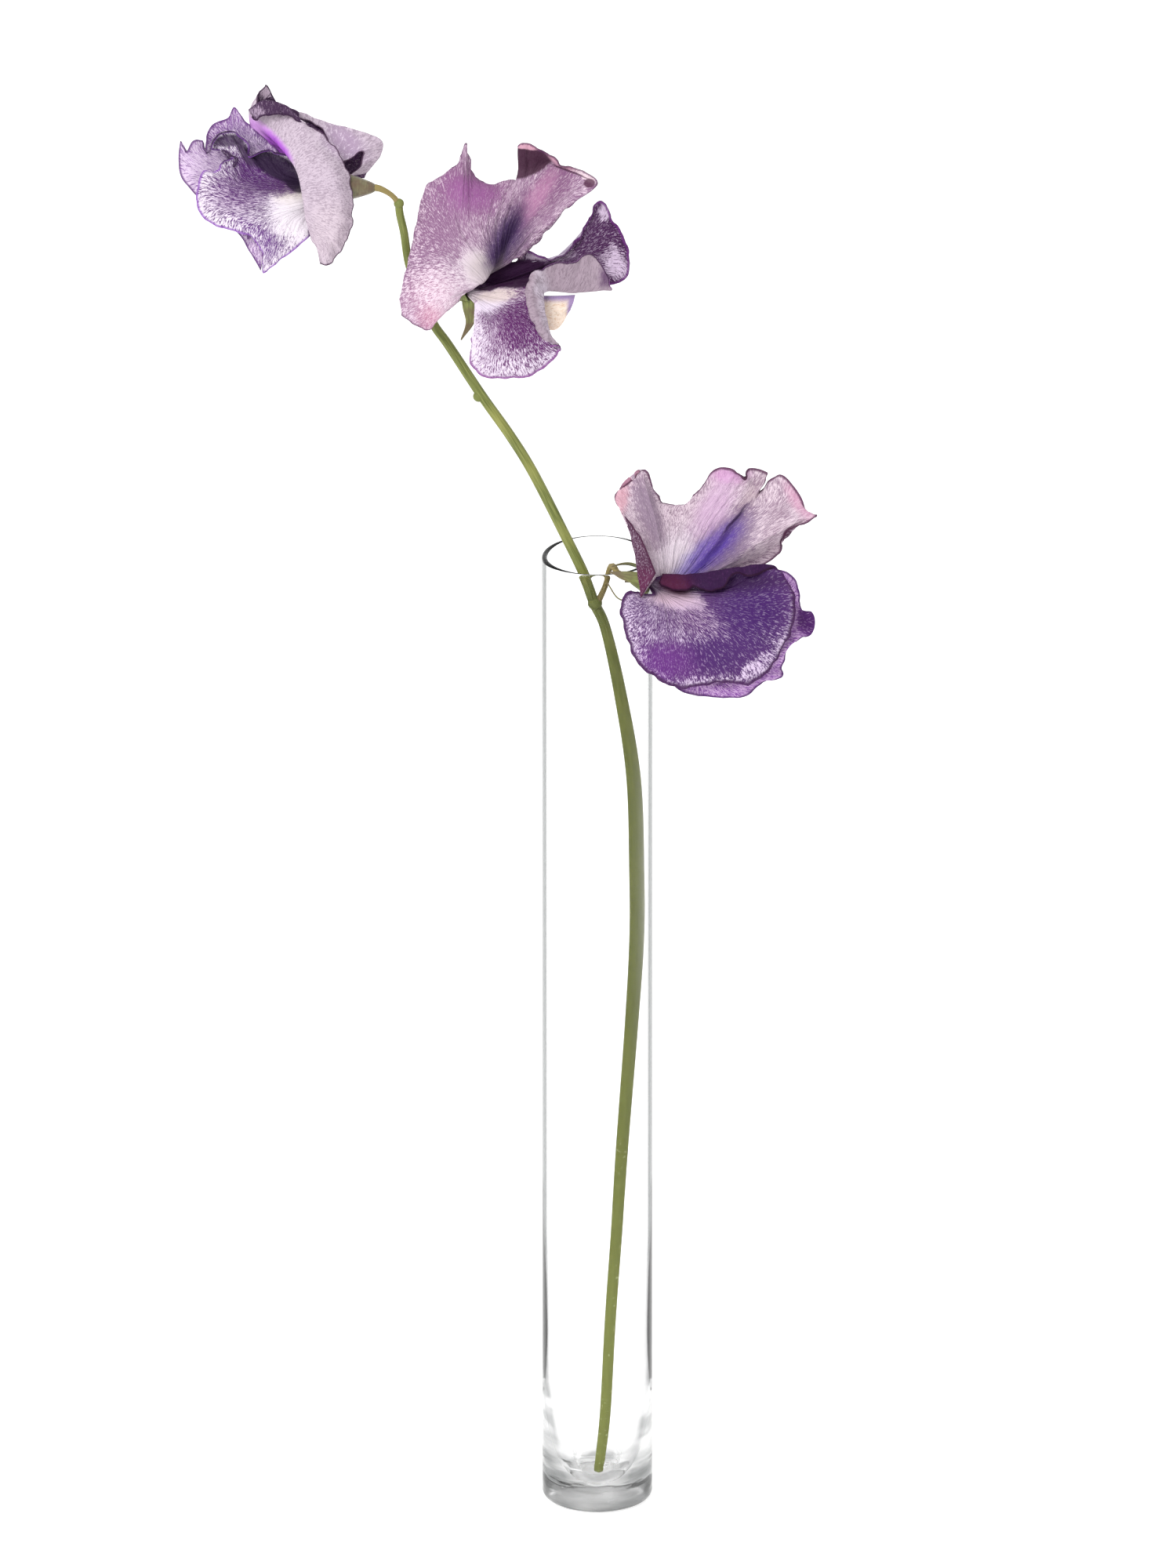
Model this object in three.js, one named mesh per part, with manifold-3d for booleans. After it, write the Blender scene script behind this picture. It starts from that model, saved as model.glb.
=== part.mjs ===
// A cut sweet pea stem with three flowers, standing in a slim glass tube vase.
// Millimetres, +Z up. The origin is the centre of the vase's flat underside, and the front is -Y.
import * as THREE from "three";
import { mergeVertices } from "three/addons/utils/BufferGeometryUtils.js";
import Module from "manifold-3d";

const wasm = await Module();
wasm.setup();

// Driving dimensions of the vase
const VASE_HEIGHT = 260;
const VASE_RADIUS = 14.2;
const VASE_WALL = 1.4;
const VASE_FOOT_ROUND = 1.6;
const VASE_BASE_THICKNESS = 4.6;
const VASE_STRAIGHT_FROM = 88;
const VASE_SIDES = 36;

// Driving dimensions of the plant
const PETAL_THICKNESS = 0.7;
const SEPAL_THICKNESS = 0.8;
const CALYX_WALL = 0.7;
const CALYX_BASE_RADIUS = 1.3;
const CALYX_MOUTH_RADIUS = 3.3;
const CALYX_SIDES = 12;
const STEM_SIDES = 10;
const STEM_STEP = 7;
const PEDICEL_STEP = 1.6;
const PEDICEL_SIDES = 8;
const PEDICEL_RADIUS = 0.7;
const STEM_FOOT_GAP = 0.9;

// How often a petal's front directions are evened out, and how far a joined solid may be
// smoothed where its faces are almost flat
const EVENING_PASSES = 4;
const SMOOTHING = 0.004;

// The flowers face a viewer who looks down on them by this much
const VIEW_DROP = THREE.MathUtils.degToRad(22);

// Colours of the finishes
const glass = new THREE.MeshStandardMaterial({ color: 0xe8eef0, roughness: 0.05, metalness: 0 });
const stemGreen = new THREE.MeshStandardMaterial({ color: 0x74853f, roughness: 0.6, metalness: 0 });
const calyxGreen = new THREE.MeshStandardMaterial({ color: 0xa3ad58, roughness: 0.6, metalness: 0 });
const standardLilac = new THREE.MeshStandardMaterial({ color: 0xcdb3cf, roughness: 0.7, metalness: 0 });
const wingPurple = new THREE.MeshStandardMaterial({ color: 0x7a4a92, roughness: 0.7, metalness: 0 });
const keelCream = new THREE.MeshStandardMaterial({ color: 0xe6d2b4, roughness: 0.7, metalness: 0 });

const point = ([x, y, z]) => new THREE.Vector3(x, y, z);

// A smooth curve through hand-set points, evenly spaced in its parameter.
const smooth = (points) => new THREE.CatmullRomCurve3(points, false, "catmullrom", 0.5);

// A grid of points on the surface through a list of rows. Each row runs across the petal,
// and the rows follow each other from the claw to the margin.
function surfaceGrid(rows, across, along) {
  const curves = rows.map((row) => smooth(row.map(point)));
  const grid = Array.from({ length: along + 1 }, () => []);
  for (let j = 0; j <= across; j += 1) {
    const ray = smooth(curves.map((curve) => curve.getPoint(j / across)));
    for (let i = 0; i <= along; i += 1) grid[i].push(ray.getPoint(i / along));
  }
  return grid;
}

// The direction of the petal's front at each point of the grid, evened out between neighbours
// so that the two faces of the petal don't cross inside its tight waves.
function frontDirections(grid) {
  const last = grid.length - 1;
  const side = grid[0].length - 1;
  const at = (rows, i, j) => rows[Math.min(Math.max(i, 0), last)][Math.min(Math.max(j, 0), side)];
  let directions = grid.map((row, i) =>
    row.map((_, j) => {
      const du = at(grid, i, j + 1).clone().sub(at(grid, i, j - 1));
      const dv = at(grid, i + 1, j).clone().sub(at(grid, i - 1, j));
      return du.cross(dv).normalize();
    }),
  );
  for (let pass = 0; pass < EVENING_PASSES; pass += 1) {
    directions = directions.map((row, i) =>
      row.map((own, j) =>
        own
          .clone()
          .add(at(directions, i, j - 1))
          .add(at(directions, i, j + 1))
          .add(at(directions, i - 1, j))
          .add(at(directions, i + 1, j))
          .normalize(),
      ),
    );
  }
  return directions;
}

function geometryFrom(vertices, triangles) {
  const geometry = new THREE.BufferGeometry().setFromPoints(vertices);
  geometry.setIndex(triangles.flat());
  return geometry;
}

// A petal or sepal: the surface through its rows, given an even thickness. Each triangle of the
// surface becomes a small slab, alike on both faces, and the slabs are joined into one body, so
// that the petal stays whole where it folds onto itself. A fold can seal a pinhole of air inside,
// which decompose lists as a body of its own, so only the largest body is kept.
function bladeSolid(rows, across, along, thickness) {
  const grid = surfaceGrid(rows, across, along);
  const directions = frontDirections(grid);
  const corners = (i, j) =>
    [0.5, -0.5].map((face) =>
      grid[i][j].clone().addScaledVector(directions[i][j], face * thickness).toArray(),
    );
  const slabs = [];
  for (let i = 0; i < along; i += 1) {
    for (let j = 0; j < across; j += 1) {
      const [a, b, c, d] = [[i, j], [i, j + 1], [i + 1, j + 1], [i + 1, j]].map((ij) => corners(...ij));
      slabs.push(wasm.Manifold.hull([...a, ...b, ...c]), wasm.Manifold.hull([...a, ...c, ...d]));
    }
  }
  const bodies = wasm.Manifold.union(slabs).decompose();
  return bodies.reduce((largest, body) => (body.volume() > largest.volume() ? body : largest));
}

// A round rod along a smooth path. Its radii are evenly spaced along it.
function rodGeometry(path, radii, step, sides) {
  const curve = new THREE.CatmullRomCurve3(path.map(point), false, "centripetal");
  const steps = Math.max(3, Math.round(curve.getLength() / step));
  const frames = curve.computeFrenetFrames(steps, false);
  const radiusCurve = smooth(radii.map((r) => new THREE.Vector3(r, 0, 0)));
  const vertices = [];
  for (let i = 0; i <= steps; i += 1) {
    const centre = curve.getPointAt(i / steps);
    const r = radiusCurve.getPoint(i / steps).x;
    for (let k = 0; k < sides; k += 1) {
      const turn = (2 * Math.PI * k) / sides;
      vertices.push(
        centre
          .clone()
          .addScaledVector(frames.normals[i], r * Math.cos(turn))
          .addScaledVector(frames.binormals[i], r * Math.sin(turn)),
      );
    }
  }
  const foot = vertices.push(curve.getPointAt(0)) - 1;
  const head = vertices.push(curve.getPointAt(1)) - 1;
  const triangles = [];
  for (let k = 0; k < sides; k += 1) {
    const next = (k + 1) % sides;
    for (let i = 0; i < steps; i += 1) {
      const a = i * sides;
      const b = a + sides;
      triangles.push([a + k, a + next, b + next], [a + k, b + next, b + k]);
    }
    triangles.push([foot, next, k]);
    triangles.push([head, steps * sides + k, steps * sides + next]);
  }
  return geometryFrom(vertices, triangles);
}

// A closed mesh as a solid that can be joined to others, and back again.
function solidOf(geometry) {
  const bare = geometry.clone();
  bare.deleteAttribute("normal");
  bare.deleteAttribute("uv");
  const merged = mergeVertices(bare, 1e-4);
  return new wasm.Manifold(
    new wasm.Mesh({
      numProp: 3,
      vertProperties: merged.attributes.position.array,
      triVerts: new Uint32Array(merged.index.array),
    }),
  );
}

function meshOf(solid) {
  const mesh = solid.simplify(SMOOTHING).getMesh();
  const geometry = new THREE.BufferGeometry();
  geometry.setAttribute("position", new THREE.BufferAttribute(mesh.vertProperties, 3));
  geometry.setIndex(new THREE.BufferAttribute(mesh.triVerts, 1));
  return geometry;
}

function named(name, geometry, material) {
  const mesh = new THREE.Mesh(geometry, material);
  mesh.name = name;
  return mesh;
}

// Vase: a straight tube with a rounded rim. The hollow narrows like a bullet towards the
// thick base, so its wall is listed as radius and height from the floor of the hollow up.
const VASE_HOLLOW = [
  [0, VASE_BASE_THICKNESS],
  [2.6, 5.2],
  [4.8, 7.2],
  [6.8, 12],
  [8.4, 21],
  [9.8, 36],
  [11.4, 54],
  [12.4, 70],
];

function vaseGeometry() {
  const inner = VASE_RADIUS - VASE_WALL;
  const lip = VASE_WALL / 2;
  const profile = [new THREE.Vector2(0, 0)];
  for (let k = 0; k <= 4; k += 1) {
    const turn = (k / 4) * (Math.PI / 2);
    profile.push(
      new THREE.Vector2(
        VASE_RADIUS - VASE_FOOT_ROUND * (1 - Math.sin(turn)),
        VASE_FOOT_ROUND * (1 - Math.cos(turn)),
      ),
    );
  }
  for (let k = 0; k <= 4; k += 1) {
    const turn = (k / 4) * Math.PI;
    profile.push(
      new THREE.Vector2(
        VASE_RADIUS - lip + lip * Math.cos(turn),
        VASE_HEIGHT - lip + lip * Math.sin(turn),
      ),
    );
  }
  profile.push(new THREE.Vector2(inner, VASE_STRAIGHT_FROM));
  for (const [radius, height] of [...VASE_HOLLOW].reverse()) {
    profile.push(new THREE.Vector2(radius, height));
  }
  return new THREE.LatheGeometry(profile, VASE_SIDES).rotateX(Math.PI / 2);
}

// Stem: from its cut foot in the base of the vase, along the right wall, out over the front
// of the rim and up to the left.
const STEM_PATH = [
  [0.3, 0, VASE_BASE_THICKNESS + STEM_FOOT_GAP],
  [2, -0.5, 22],
  [3.4, -1, 49],
  [4.9, -1.5, 73],
  [6.2, -1.8, 96],
  [8.6, -2.2, 131],
  [9.9, -2.3, 155],
  [9.9, -2.5, 174],
  [9, -4, 201],
  [5.6, -6.6, 225.4],
  [2, -8.6, 243.6],
  [-0.8, -9.7, 251],
  [-3.4, -10.2, 258.8],
  [-8, -11.2, 269.4],
  [-16.4, -11.4, 287.2],
  [-22.4, -11.2, 297.5],
  [-29.2, -10.5, 307.5],
  [-37.8, -9.2, 321],
  [-41.4, -8.7, 326.2],
  [-44.4, -8.2, 332.9],
  [-47.8, -8, 342.5],
  [-49.1, -8, 351.2],
  [-50.2, -8, 356.5],
  [-50.4, -8, 359.6],
];
const STEM_RADII = [1.35, 1.5, 1.5, 1.55, 1.7, 1.75, 1.95, 1.9, 1.75, 1.35, 1.3, 1.3, 1.25, 1.1, 1];

// Pedicels: the short stalk of each flower, from inside the stem to the calyx.
const LOWER_PEDICEL = [
  [-0.2, -9.9, 250.6],
  [1.8, -10.6, 255.6],
  [3.2, -12, 261.3],
  [4.2, -14.2, 262.4],
  [5.2, -16.6, 261.6],
  [7.6, -17.8, 260.9],
];
const MIDDLE_PEDICEL = [
  [-42.6, -8.6, 328.2],
  [-42.2, -11, 331],
  [-40.8, -13.6, 334.6],
  [-38.8, -14.9, 336.9],
];
const TOP_PEDICEL = [
  [-50.4, -8, 358.6],
  [-51.4, -8, 360.6],
  [-53.2, -8, 362.2],
  [-55.6, -8, 363.4],
];
// Swellings where the flower stalks grow out, as centre and radius
const STEM_NODES = [
  [-0.6, -9.9, 251, 1.9],
  [-30.2, -10.4, 307.6, 1.5],
  [-42.2, -8.7, 327.6, 1.6],
  [-50.4, -8, 359.2, 1.35],
];

function stemGeometry() {
  const pedicelRadii = [PEDICEL_RADIUS * 1.2, PEDICEL_RADIUS, PEDICEL_RADIUS, PEDICEL_RADIUS * 1.2];
  const pieces = [rodGeometry(STEM_PATH, STEM_RADII, STEM_STEP, STEM_SIDES)];
  for (const path of [LOWER_PEDICEL, MIDDLE_PEDICEL, TOP_PEDICEL]) {
    pieces.push(rodGeometry(path, pedicelRadii, PEDICEL_STEP, PEDICEL_SIDES));
  }
  for (const [x, y, z, radius] of STEM_NODES) {
    pieces.push(new THREE.IcosahedronGeometry(radius, 1).translate(x, y, z));
  }
  return meshOf(wasm.Manifold.union(pieces.map(solidOf)));
}

// Calyx: a cup between two points of its axis, widening to its mouth, with five teeth that
// are small blades rooted in the rim.
function cupGeometry(base, mouth) {
  const length = point(base).distanceTo(point(mouth));
  const belly = (CALYX_BASE_RADIUS + CALYX_MOUTH_RADIUS) * 0.56;
  const profile = [
    [0, 0],
    [CALYX_BASE_RADIUS * 0.8, 0],
    [belly, length * 0.4],
    [CALYX_MOUTH_RADIUS, length],
    [CALYX_MOUTH_RADIUS - CALYX_WALL, length],
    [belly - CALYX_WALL, length * 0.45],
    [0, length * 0.3 + CALYX_WALL],
  ].map(([radius, height]) => new THREE.Vector2(radius, height));
  const cup = new THREE.LatheGeometry(profile, CALYX_SIDES);
  const axis = point(mouth).sub(point(base)).normalize();
  const turn = new THREE.Quaternion().setFromUnitVectors(new THREE.Vector3(0, 1, 0), axis);
  return cup.applyQuaternion(turn).translate(...base);
}

function calyxGeometry({ base, mouth, teeth }) {
  const pieces = [solidOf(cupGeometry(base, mouth))];
  for (const rows of teeth) pieces.push(bladeSolid(rows, 2, 6, SEPAL_THICKNESS));
  return meshOf(wasm.Manifold.union(pieces));
}

// Each flower is set in its own frame: x to the right, y up the view and z to the viewer.
// Petal rows run clockwise seen from the petal's front, from the claw to the margin.
const LOWER_STANDARD = [
  [
    [-3, 0.4, 1.2], [-3, 0.9, 0.8], [-3, 1.1, 0], [-3, 0.9, -0.8], [-3, 0.4, -1.2],
  ],
  [
    [-1, 0.6, 2.2], [0.8, 1.1, 0.3], [4, 0.8, -1.8], [7.6, 0.6, -2.8], [9.6, 0, -3.2],
  ],
  [
    [-1.6, -0.6, 4.8], [-4, 10, 1], [-0.4, 12, 0.6], [3.6, 10, -1.4], [10.6, 15, -2.5], [17, 15, -2.5],
    [23, 12.4, 0], [20, 5.6, 1.4], [11.4, 0, -3.5],
  ],
  [
    [-4.4, -4.4, 6.8], [-6.6, 9.6, 4.4], [-9.6, 21, 2], [-4.4, 26.2, 1.6], [0.6, 18.4, -2.4],
    [9.6, 19.6, -5], [17.4, 25.6, -2.6], [22.4, 24.6, -3], [24.2, 19, -2.4], [33, 19, 0.4],
    [36, 15.6, 1.4], [27.6, 7.4, -2.6], [11.8, 0, -3.7],
  ],
  [
    [-0.8, 1.6, 6.6], [-3.6, 8.6, 6.2], [-6.4, 13.4, 4], [-10.2, 18.4, 2.2], [-10.8, 22, 1],
    [-8, 24.4, 2.2], [-3.6, 28, 1.4], [-1.2, 23, -1.5], [1.2, 19.8, -4], [6.8, 19.2, -6.4],
    [10.8, 23.6, -5], [14.4, 28.2, -3.5], [18.8, 28.2, -1], [21.6, 25.6, 1], [23.2, 28.4, -3],
    [27.6, 27, -0.5], [25.4, 22.4, -3.6], [30.8, 26.8, -1], [35.6, 22, 0.5], [37.6, 17.2, 0],
    [40, 16, 1.5], [32, 12, 1], [30.8, 7, -4], [23.6, 2.6, -3], [12, 0, -3.9],
  ],
];

const LOWER_WING_NEAR = [
  [
    [-2.6, -0.8, 1.4], [-2.6, -1.1, 1.4], [-2.6, -1.3, 1.4], [-2.6, -1.5, 1.4], [-2.6, -1.8, 1.4],
  ],
  [
    [0.6, -1.4, 2], [2.4, -2.6, 2.8], [2, -4, 3.6], [0.4, -4.4, 3.8], [-1.4, -3.4, 3.8],
  ],
  [
    [2.2, -0.8, 2.2], [9.4, -2.4, 4.5], [18, -2.4, 7.6], [21.6, -6.8, 10], [17, -13, 11],
    [7.4, -15.4, 10.5], [0.6, -13, 9.5], [-3.6, -8, 8], [-2.8, -3.6, 4.2],
  ],
  [
    [1.8, 0.8, 2.2], [8.2, 1.4, 5], [18.4, 2.8, 8], [27.6, 3.4, 7.6], [32.4, -3.2, 8],
    [31.4, -12.2, 8.5], [26.4, -20.6, 8.5], [16.2, -23.6, 8.5], [5.8, -24.6, 7.5], [-1, -21.6, 8],
    [-5.6, -15.2, 8.5], [-7.8, -6.8, 7.5], [-4.6, -3.2, 4.6],
  ],
  [
    [1.4, 0, 3.4], [4.4, -0.8, 5], [8.6, 0, 6.6], [13.8, -0.8, 8.6], [19.6, 1.6, 9.4], [24, 1, 9],
    [28.8, 3, 8], [32, 0.4, 7], [34.2, -3.4, 7], [34.6, -7.6, 7], [33.6, -13, 6.5], [31.2, -17.4, 6.5],
    [28.2, -22.6, 6], [23, -26.4, 5.5], [17, -25.8, 6], [11.4, -26.6, 6], [5.8, -27.4, 5],
    [1.4, -26, 5.5], [-2, -23.8, 6], [-5.2, -21.2, 6], [-7.4, -16.4, 6.5], [-8.8, -11.6, 6.5],
    [-9.6, -7.2, 6], [-8.4, -3.6, 5], [-5.2, -2.8, 4.2],
  ],
];

const LOWER_WING_FAR = [
  [
    [-2.4, -0.7, -1.3], [-2.4, -1.1, -1.3], [-2.4, -1.5, -1.3],
  ],
  [
    [1.4, -1.8, -2.2], [9, -2.2, -3], [17, -3.5, -2.5], [20, -8, -1.5], [19, -12, -1], [16, -15, -1],
    [11, -17, -1], [5, -15, -1.5], [0.6, -8, -1.8],
  ],
  [
    [1.8, -1.4, -2.2], [17, -0.4, -1.5], [30, -0.6, 0.5], [33.4, -6.4, 1.6], [34.6, -12.4, 1.8],
    [28.4, -20.4, 2], [21.4, -25.4, 2], [10.6, -25, 1.6], [1, -17, 0],
  ],
  [
    [2, -1.4, -2.2], [8, -1.6, -2.4], [18, 0.2, -1.8], [27, 2.4, -1], [32, 2.2, -0.5], [35.2, -1, 0],
    [36.2, -7.2, 0.5], [39.4, -9, 1.4], [38.8, -13.6, 1.6], [33.6, -16, 0.6], [31.4, -21.6, 0.2],
    [31.2, -24.6, 0.5], [26, -26.2, 0.6], [21.6, -29.6, 0.8], [12, -29.5, 0.8], [5.2, -27.8, 0],
    [1, -22, -0.6],
  ],
];

const LOWER_KEEL = [
  [
    [-2.4, -0.9, 0], [-2.4, -1.4, 0], [-2.4, -1.9, 0],
  ],
  [
    [4, -2.6, 1.8], [4.4, -4.6, 1.7], [5, -6.4, 0.8], [4.4, -4.6, -0.1], [4, -2.6, 0],
  ],
  [
    [12, -5.4, 3.8], [11.4, -8, 3.7], [10.8, -11, 2.6], [11.4, -8, 1.5], [12, -5.4, 1.6],
  ],
  [
    [15.6, -9.6, 4.6], [15, -10.8, 4.5], [14.6, -12, 3.8], [15, -10.8, 3.1], [15.6, -9.6, 3.2],
  ],
];

const MIDDLE_STANDARD = [
  [
    [-2.6, 0.6, 1.2], [-2.6, 1.1, 0.8], [-2.6, 1.2, 0], [-2.6, 1, -0.8], [-2.6, 0.6, -1.2],
  ],
  [
    [-1.4, -0.4, 3.4], [1, 1.6, 4.5], [3.6, 4.6, 4], [5.6, 7, 0.6], [7.6, 6, -0.6],
  ],
  [
    [-3, -1.4, 4], [-8.4, -2.4, 4], [-8.6, 7.6, 3.5], [-5.4, 15, 3.5], [-0.4, 15.6, 3], [5.6, 16.4, 0],
    [9.4, 16.6, -2], [14.6, 15.6, 0], [8.4, 6.8, -0.6],
  ],
  [
    [-4, -2, 3.6], [-11.4, -8.2, 2], [-18.6, -3.8, 0.5], [-16.6, 9.8, -2], [-12.8, 24, -2],
    [-4.4, 29, 0], [-1, 25, -1], [7.6, 26.4, -3.5], [10.6, 26.8, -4], [15.6, 30, -4.5], [24.6, 27, -1],
    [21.8, 20.4, 0.6], [10.2, 7.6, -0.6],
  ],
  [
    [-4.6, -3.4, 3.2], [-9.6, -7.2, 2.2], [-12.8, -10.6, 0.6], [-17.2, -8.2, 0], [-19.4, -5.6, -1],
    [-16.8, 2, -5], [-14.8, 10, -6.5], [-12.4, 18, -6.5], [-13, 25.4, -4.5], [-7.6, 28.6, -2.4],
    [-4.2, 33.4, -1.4], [-2.9, 36.6, -1], [-1.6, 30, -3], [2.4, 26, -5], [8, 27.2, -5.5],
    [10.6, 28, -5], [10.4, 36, -2], [14, 36, -1], [19.2, 33, 0], [21.8, 31, -1], [27.2, 29.4, 0],
    [30.2, 26, 1], [23, 20.6, 0], [16.8, 13.6, -1], [10.8, 7.4, -1.4],
  ],
];

const MIDDLE_WING_NEAR = [
  [
    [-2.6, -0.8, 1.4], [-2.6, -1.3, 1.4], [-2.6, -1.8, 1.4],
  ],
  [
    [20, 3.2, 1.8], [12.6, 1.4, 3], [12, -7.4, 6.5], [4.4, -10, 6.5], [-0.4, -3, 2.6],
  ],
  [
    [33, -0.5, 3.6], [25, -1.1, 4], [17.4, -0.9, 5], [16.8, -4.6, 7], [17.6, -13.6, 8.5],
    [11.6, -19, 8.5], [3, -19.4, 8], [-0.4, -12, 6.5], [-0.6, -3.6, 3],
  ],
  [
    [33.6, 0.6, 4.8], [32, 4.8, 5.6], [28.4, 8.6, 6], [24.6, 6.4, 7], [18.4, 5.8, 8], [14.8, 1.6, 9],
    [14.4, -4, 9.6], [17, -10, 9.4], [20.4, -15.8, 7.4], [18, -19.2, 7.5], [13, -22.4, 7],
    [8, -22.8, 7], [2, -22.6, 6.5], [-1.6, -19.4, 6], [-1.6, -15, 6], [-0.4, -9, 5.2],
    [-0.8, -4.4, 3.2],
  ],
];

const MIDDLE_WING_FAR = [
  [
    [-2.6, -0.8, -1.3], [-2.6, -1.3, -1.3], [-2.6, -1.8, -1.3],
  ],
  [
    [4, 6.2, -2.8], [14, 5, -3], [20, 7, -4], [19, 4, -4], [8, 0, -2.4],
  ],
  [
    [8, 6.4, -3.2], [15.6, 7, -3.2], [24, 10, -3.5], [29, 17.4, -3.5], [31.6, 15.8, -2.5],
    [34.6, 10, -3], [34, 4.6, -4], [26, 1.6, -4], [10, 1.4, -3],
  ],
  [
    [9.4, 6.2, -3.2], [12.4, 9.4, -3.2], [16, 8, -2.8], [20.4, 7.6, -2], [25, 12, -2.5],
    [28, 17, -2.5], [30.4, 21.8, -2], [32.4, 21.2, -1], [33.8, 17.8, -0.5], [36.4, 14, -1],
    [38, 10, -1.5], [38.4, 6, -2], [37.4, 2.4, -2.5], [34, 1, -3.4], [28, 0, -3.8], [20, 0, -4],
    [11, 0.6, -3.4],
  ],
];

const MIDDLE_KEEL = [
  [
    [-2.4, -0.9, 0], [-2.4, -1.4, 0], [-2.4, -1.9, 0],
  ],
  [
    [8, -1.4, 1.4], [9, -4, 1.8], [10, -7, 0.6], [9, -4, -1.2], [8, -1.4, -1],
  ],
  [
    [17.4, -2, 2.2], [18.6, -6, 2.4], [19.2, -10.6, 1], [19, -6, -0.6], [17.4, -2, -0.6],
  ],
  [
    [24.6, -1.8, 1.6], [24.2, -3.4, 1.5], [23.4, -5.6, 0.8], [24.2, -3.4, 0.2], [24.6, -1.8, 0],
  ],
];

const TOP_STANDARD = [
  [
    [1.8, 0, -1.2], [1.8, 0.7, -0.8], [1.8, 1, 0], [1.8, 0.8, 0.9], [1.8, 0.3, 1.5],
  ],
  [
    [-3, 2, -3.4], [-8, 5, -2], [-7, 4.4, 1.5], [-6, -1, 6.2], [-5, -5, 6.4],
  ],
  [
    [-1, 2, -6], [-8, 11, -7], [-21, 11, -5], [-21, 14, 0], [-16.6, 10.4, 4], [-12, 4, 6.4],
    [-10.2, -3.2, 7.6], [-9.4, -9, 7.6], [-8.2, -12.6, 6.6],
  ],
  [
    [5, 2, -8], [9.2, 11.4, -8], [-6.4, 16.6, -8], [-18.6, 20.4, -4], [-24, 19, 1], [-19.6, 21.4, 2.5],
    [-13.4, 18.6, 3.5], [-8.6, 10.6, 6.5], [-4, 4.6, 8], [-1.6, -3.6, 8.5], [-2, -11, 8],
    [-4, -15, 7.5], [-6.8, -16, 7],
  ],
  [
    [0, 2, -7], [3.8, 4.8, -5], [4.8, 8.6, -4.5], [-1, 6.4, -4], [-6, 14.8, -6], [-12, 17.6, -7],
    [-17, 21, -4], [-20, 25.4, 0], [-23, 18, 3.6], [-22, 16.6, 5.6], [-19.6, 17.8, 6], [-16, 18, 5.6],
    [-12, 16.8, 5], [-8.6, 14.8, 4], [-5.6, 13, 4], [-2.4, 9.6, 4], [0, 5.6, 4], [1.6, 1, 4],
    [2.2, -4.4, 4], [2.1, -9, 4], [1, -13.4, 4], [-1, -16.6, 4.5], [-2.6, -19.2, 5],
    [-4.4, -20.2, 5.6], [-6, -19.8, 6],
  ],
];

const TOP_WING_NEAR = [
  [
    [1.4, -1.7, 1.25], [1.4, -1.3, 1.25], [1.4, -0.8, 1.25],
  ],
  [
    [-7.6, -7.6, 3], [-18.6, -8.4, 8], [-24, -2, 7.5], [-20.6, 1.2, 4.2], [-9, 2, 2.4],
  ],
  [
    [-8.8, -11, 4.2], [-16, -16.4, 7], [-20, -14, 8], [-26.6, -8.6, 8.5], [-33, -4.6, 8],
    [-32.8, 1.4, 7.5], [-28.4, 2.4, 7], [-27.4, 5.4, 4.5], [-24, 6.4, 3], [-18.6, 5.6, 2.2],
    [-11, 3.6, 3],
  ],
  [
    [-8.6, -12.8, 4.2], [-12.4, -16.2, 5.5], [-17, -19.6, 6], [-20.4, -22.2, 6], [-20.4, -17.4, 7],
    [-23.2, -13.2, 7], [-28, -11.5, 7], [-33.6, -9.6, 6.5], [-36.8, -6, 6.5], [-37, -1.4, 6.5],
    [-35.6, 3.2, 6], [-32.4, 3.4, 6], [-29.8, 4.6, 5.5], [-27.2, 6.2, 5], [-32.2, 10, 3],
    [-29.6, 12.6, 2.5], [-25.8, 10, 2], [-24, 6.2, 1.8], [-19.6, 7.6, 1.6], [-15.2, 6.4, 1.8],
    [-12, 4.6, 2.2],
  ],
];

const TOP_WING_FAR = [
  [
    [1.4, -1.7, -1.25], [1.4, -1.3, -1.25], [1.4, -0.8, -1.25],
  ],
  [
    [-12, -7, -2], [-22, -2, -1.4], [-22, 3, -1.8], [-17, 4.4, -2.6], [-9, -0.6, -2.6],
  ],
  [
    [-19, -14, 2], [-25, -9, 2], [-35, 0, 1], [-37, 4, 0.6], [-36.6, 6.6, 0.4], [-34, 8, -0.3],
    [-31, 10, -2], [-27.6, 13, -2.2], [-24.4, 12.2, -2.2], [-19.6, 6.6, -2.6], [-10.6, -0.2, -2.2],
  ],
  [
    [-21, -21.4, 2.6], [-24, -16.4, 2.6], [-26.8, -12, 2.2], [-34, -6, 1.6], [-39, -0.6, 1.4],
    [-41.2, 2.4, 1], [-41.8, 7, 0.5], [-41.2, 11.2, 0], [-40, 8.2, 1.4], [-38.2, 11.2, 1.4],
    [-36, 11, 0.8], [-34.8, 8, 2], [-34.8, 12, -1], [-33.2, 15.4, -2], [-29.2, 17.2, -2.5],
    [-27.8, 19.8, -2], [-25.4, 16.8, -1.8], [-23.2, 13.6, -1.4], [-20.8, 9, -2], [-18, 6.4, -2.5],
    [-11, -0.2, -2.2],
  ],
];

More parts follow.
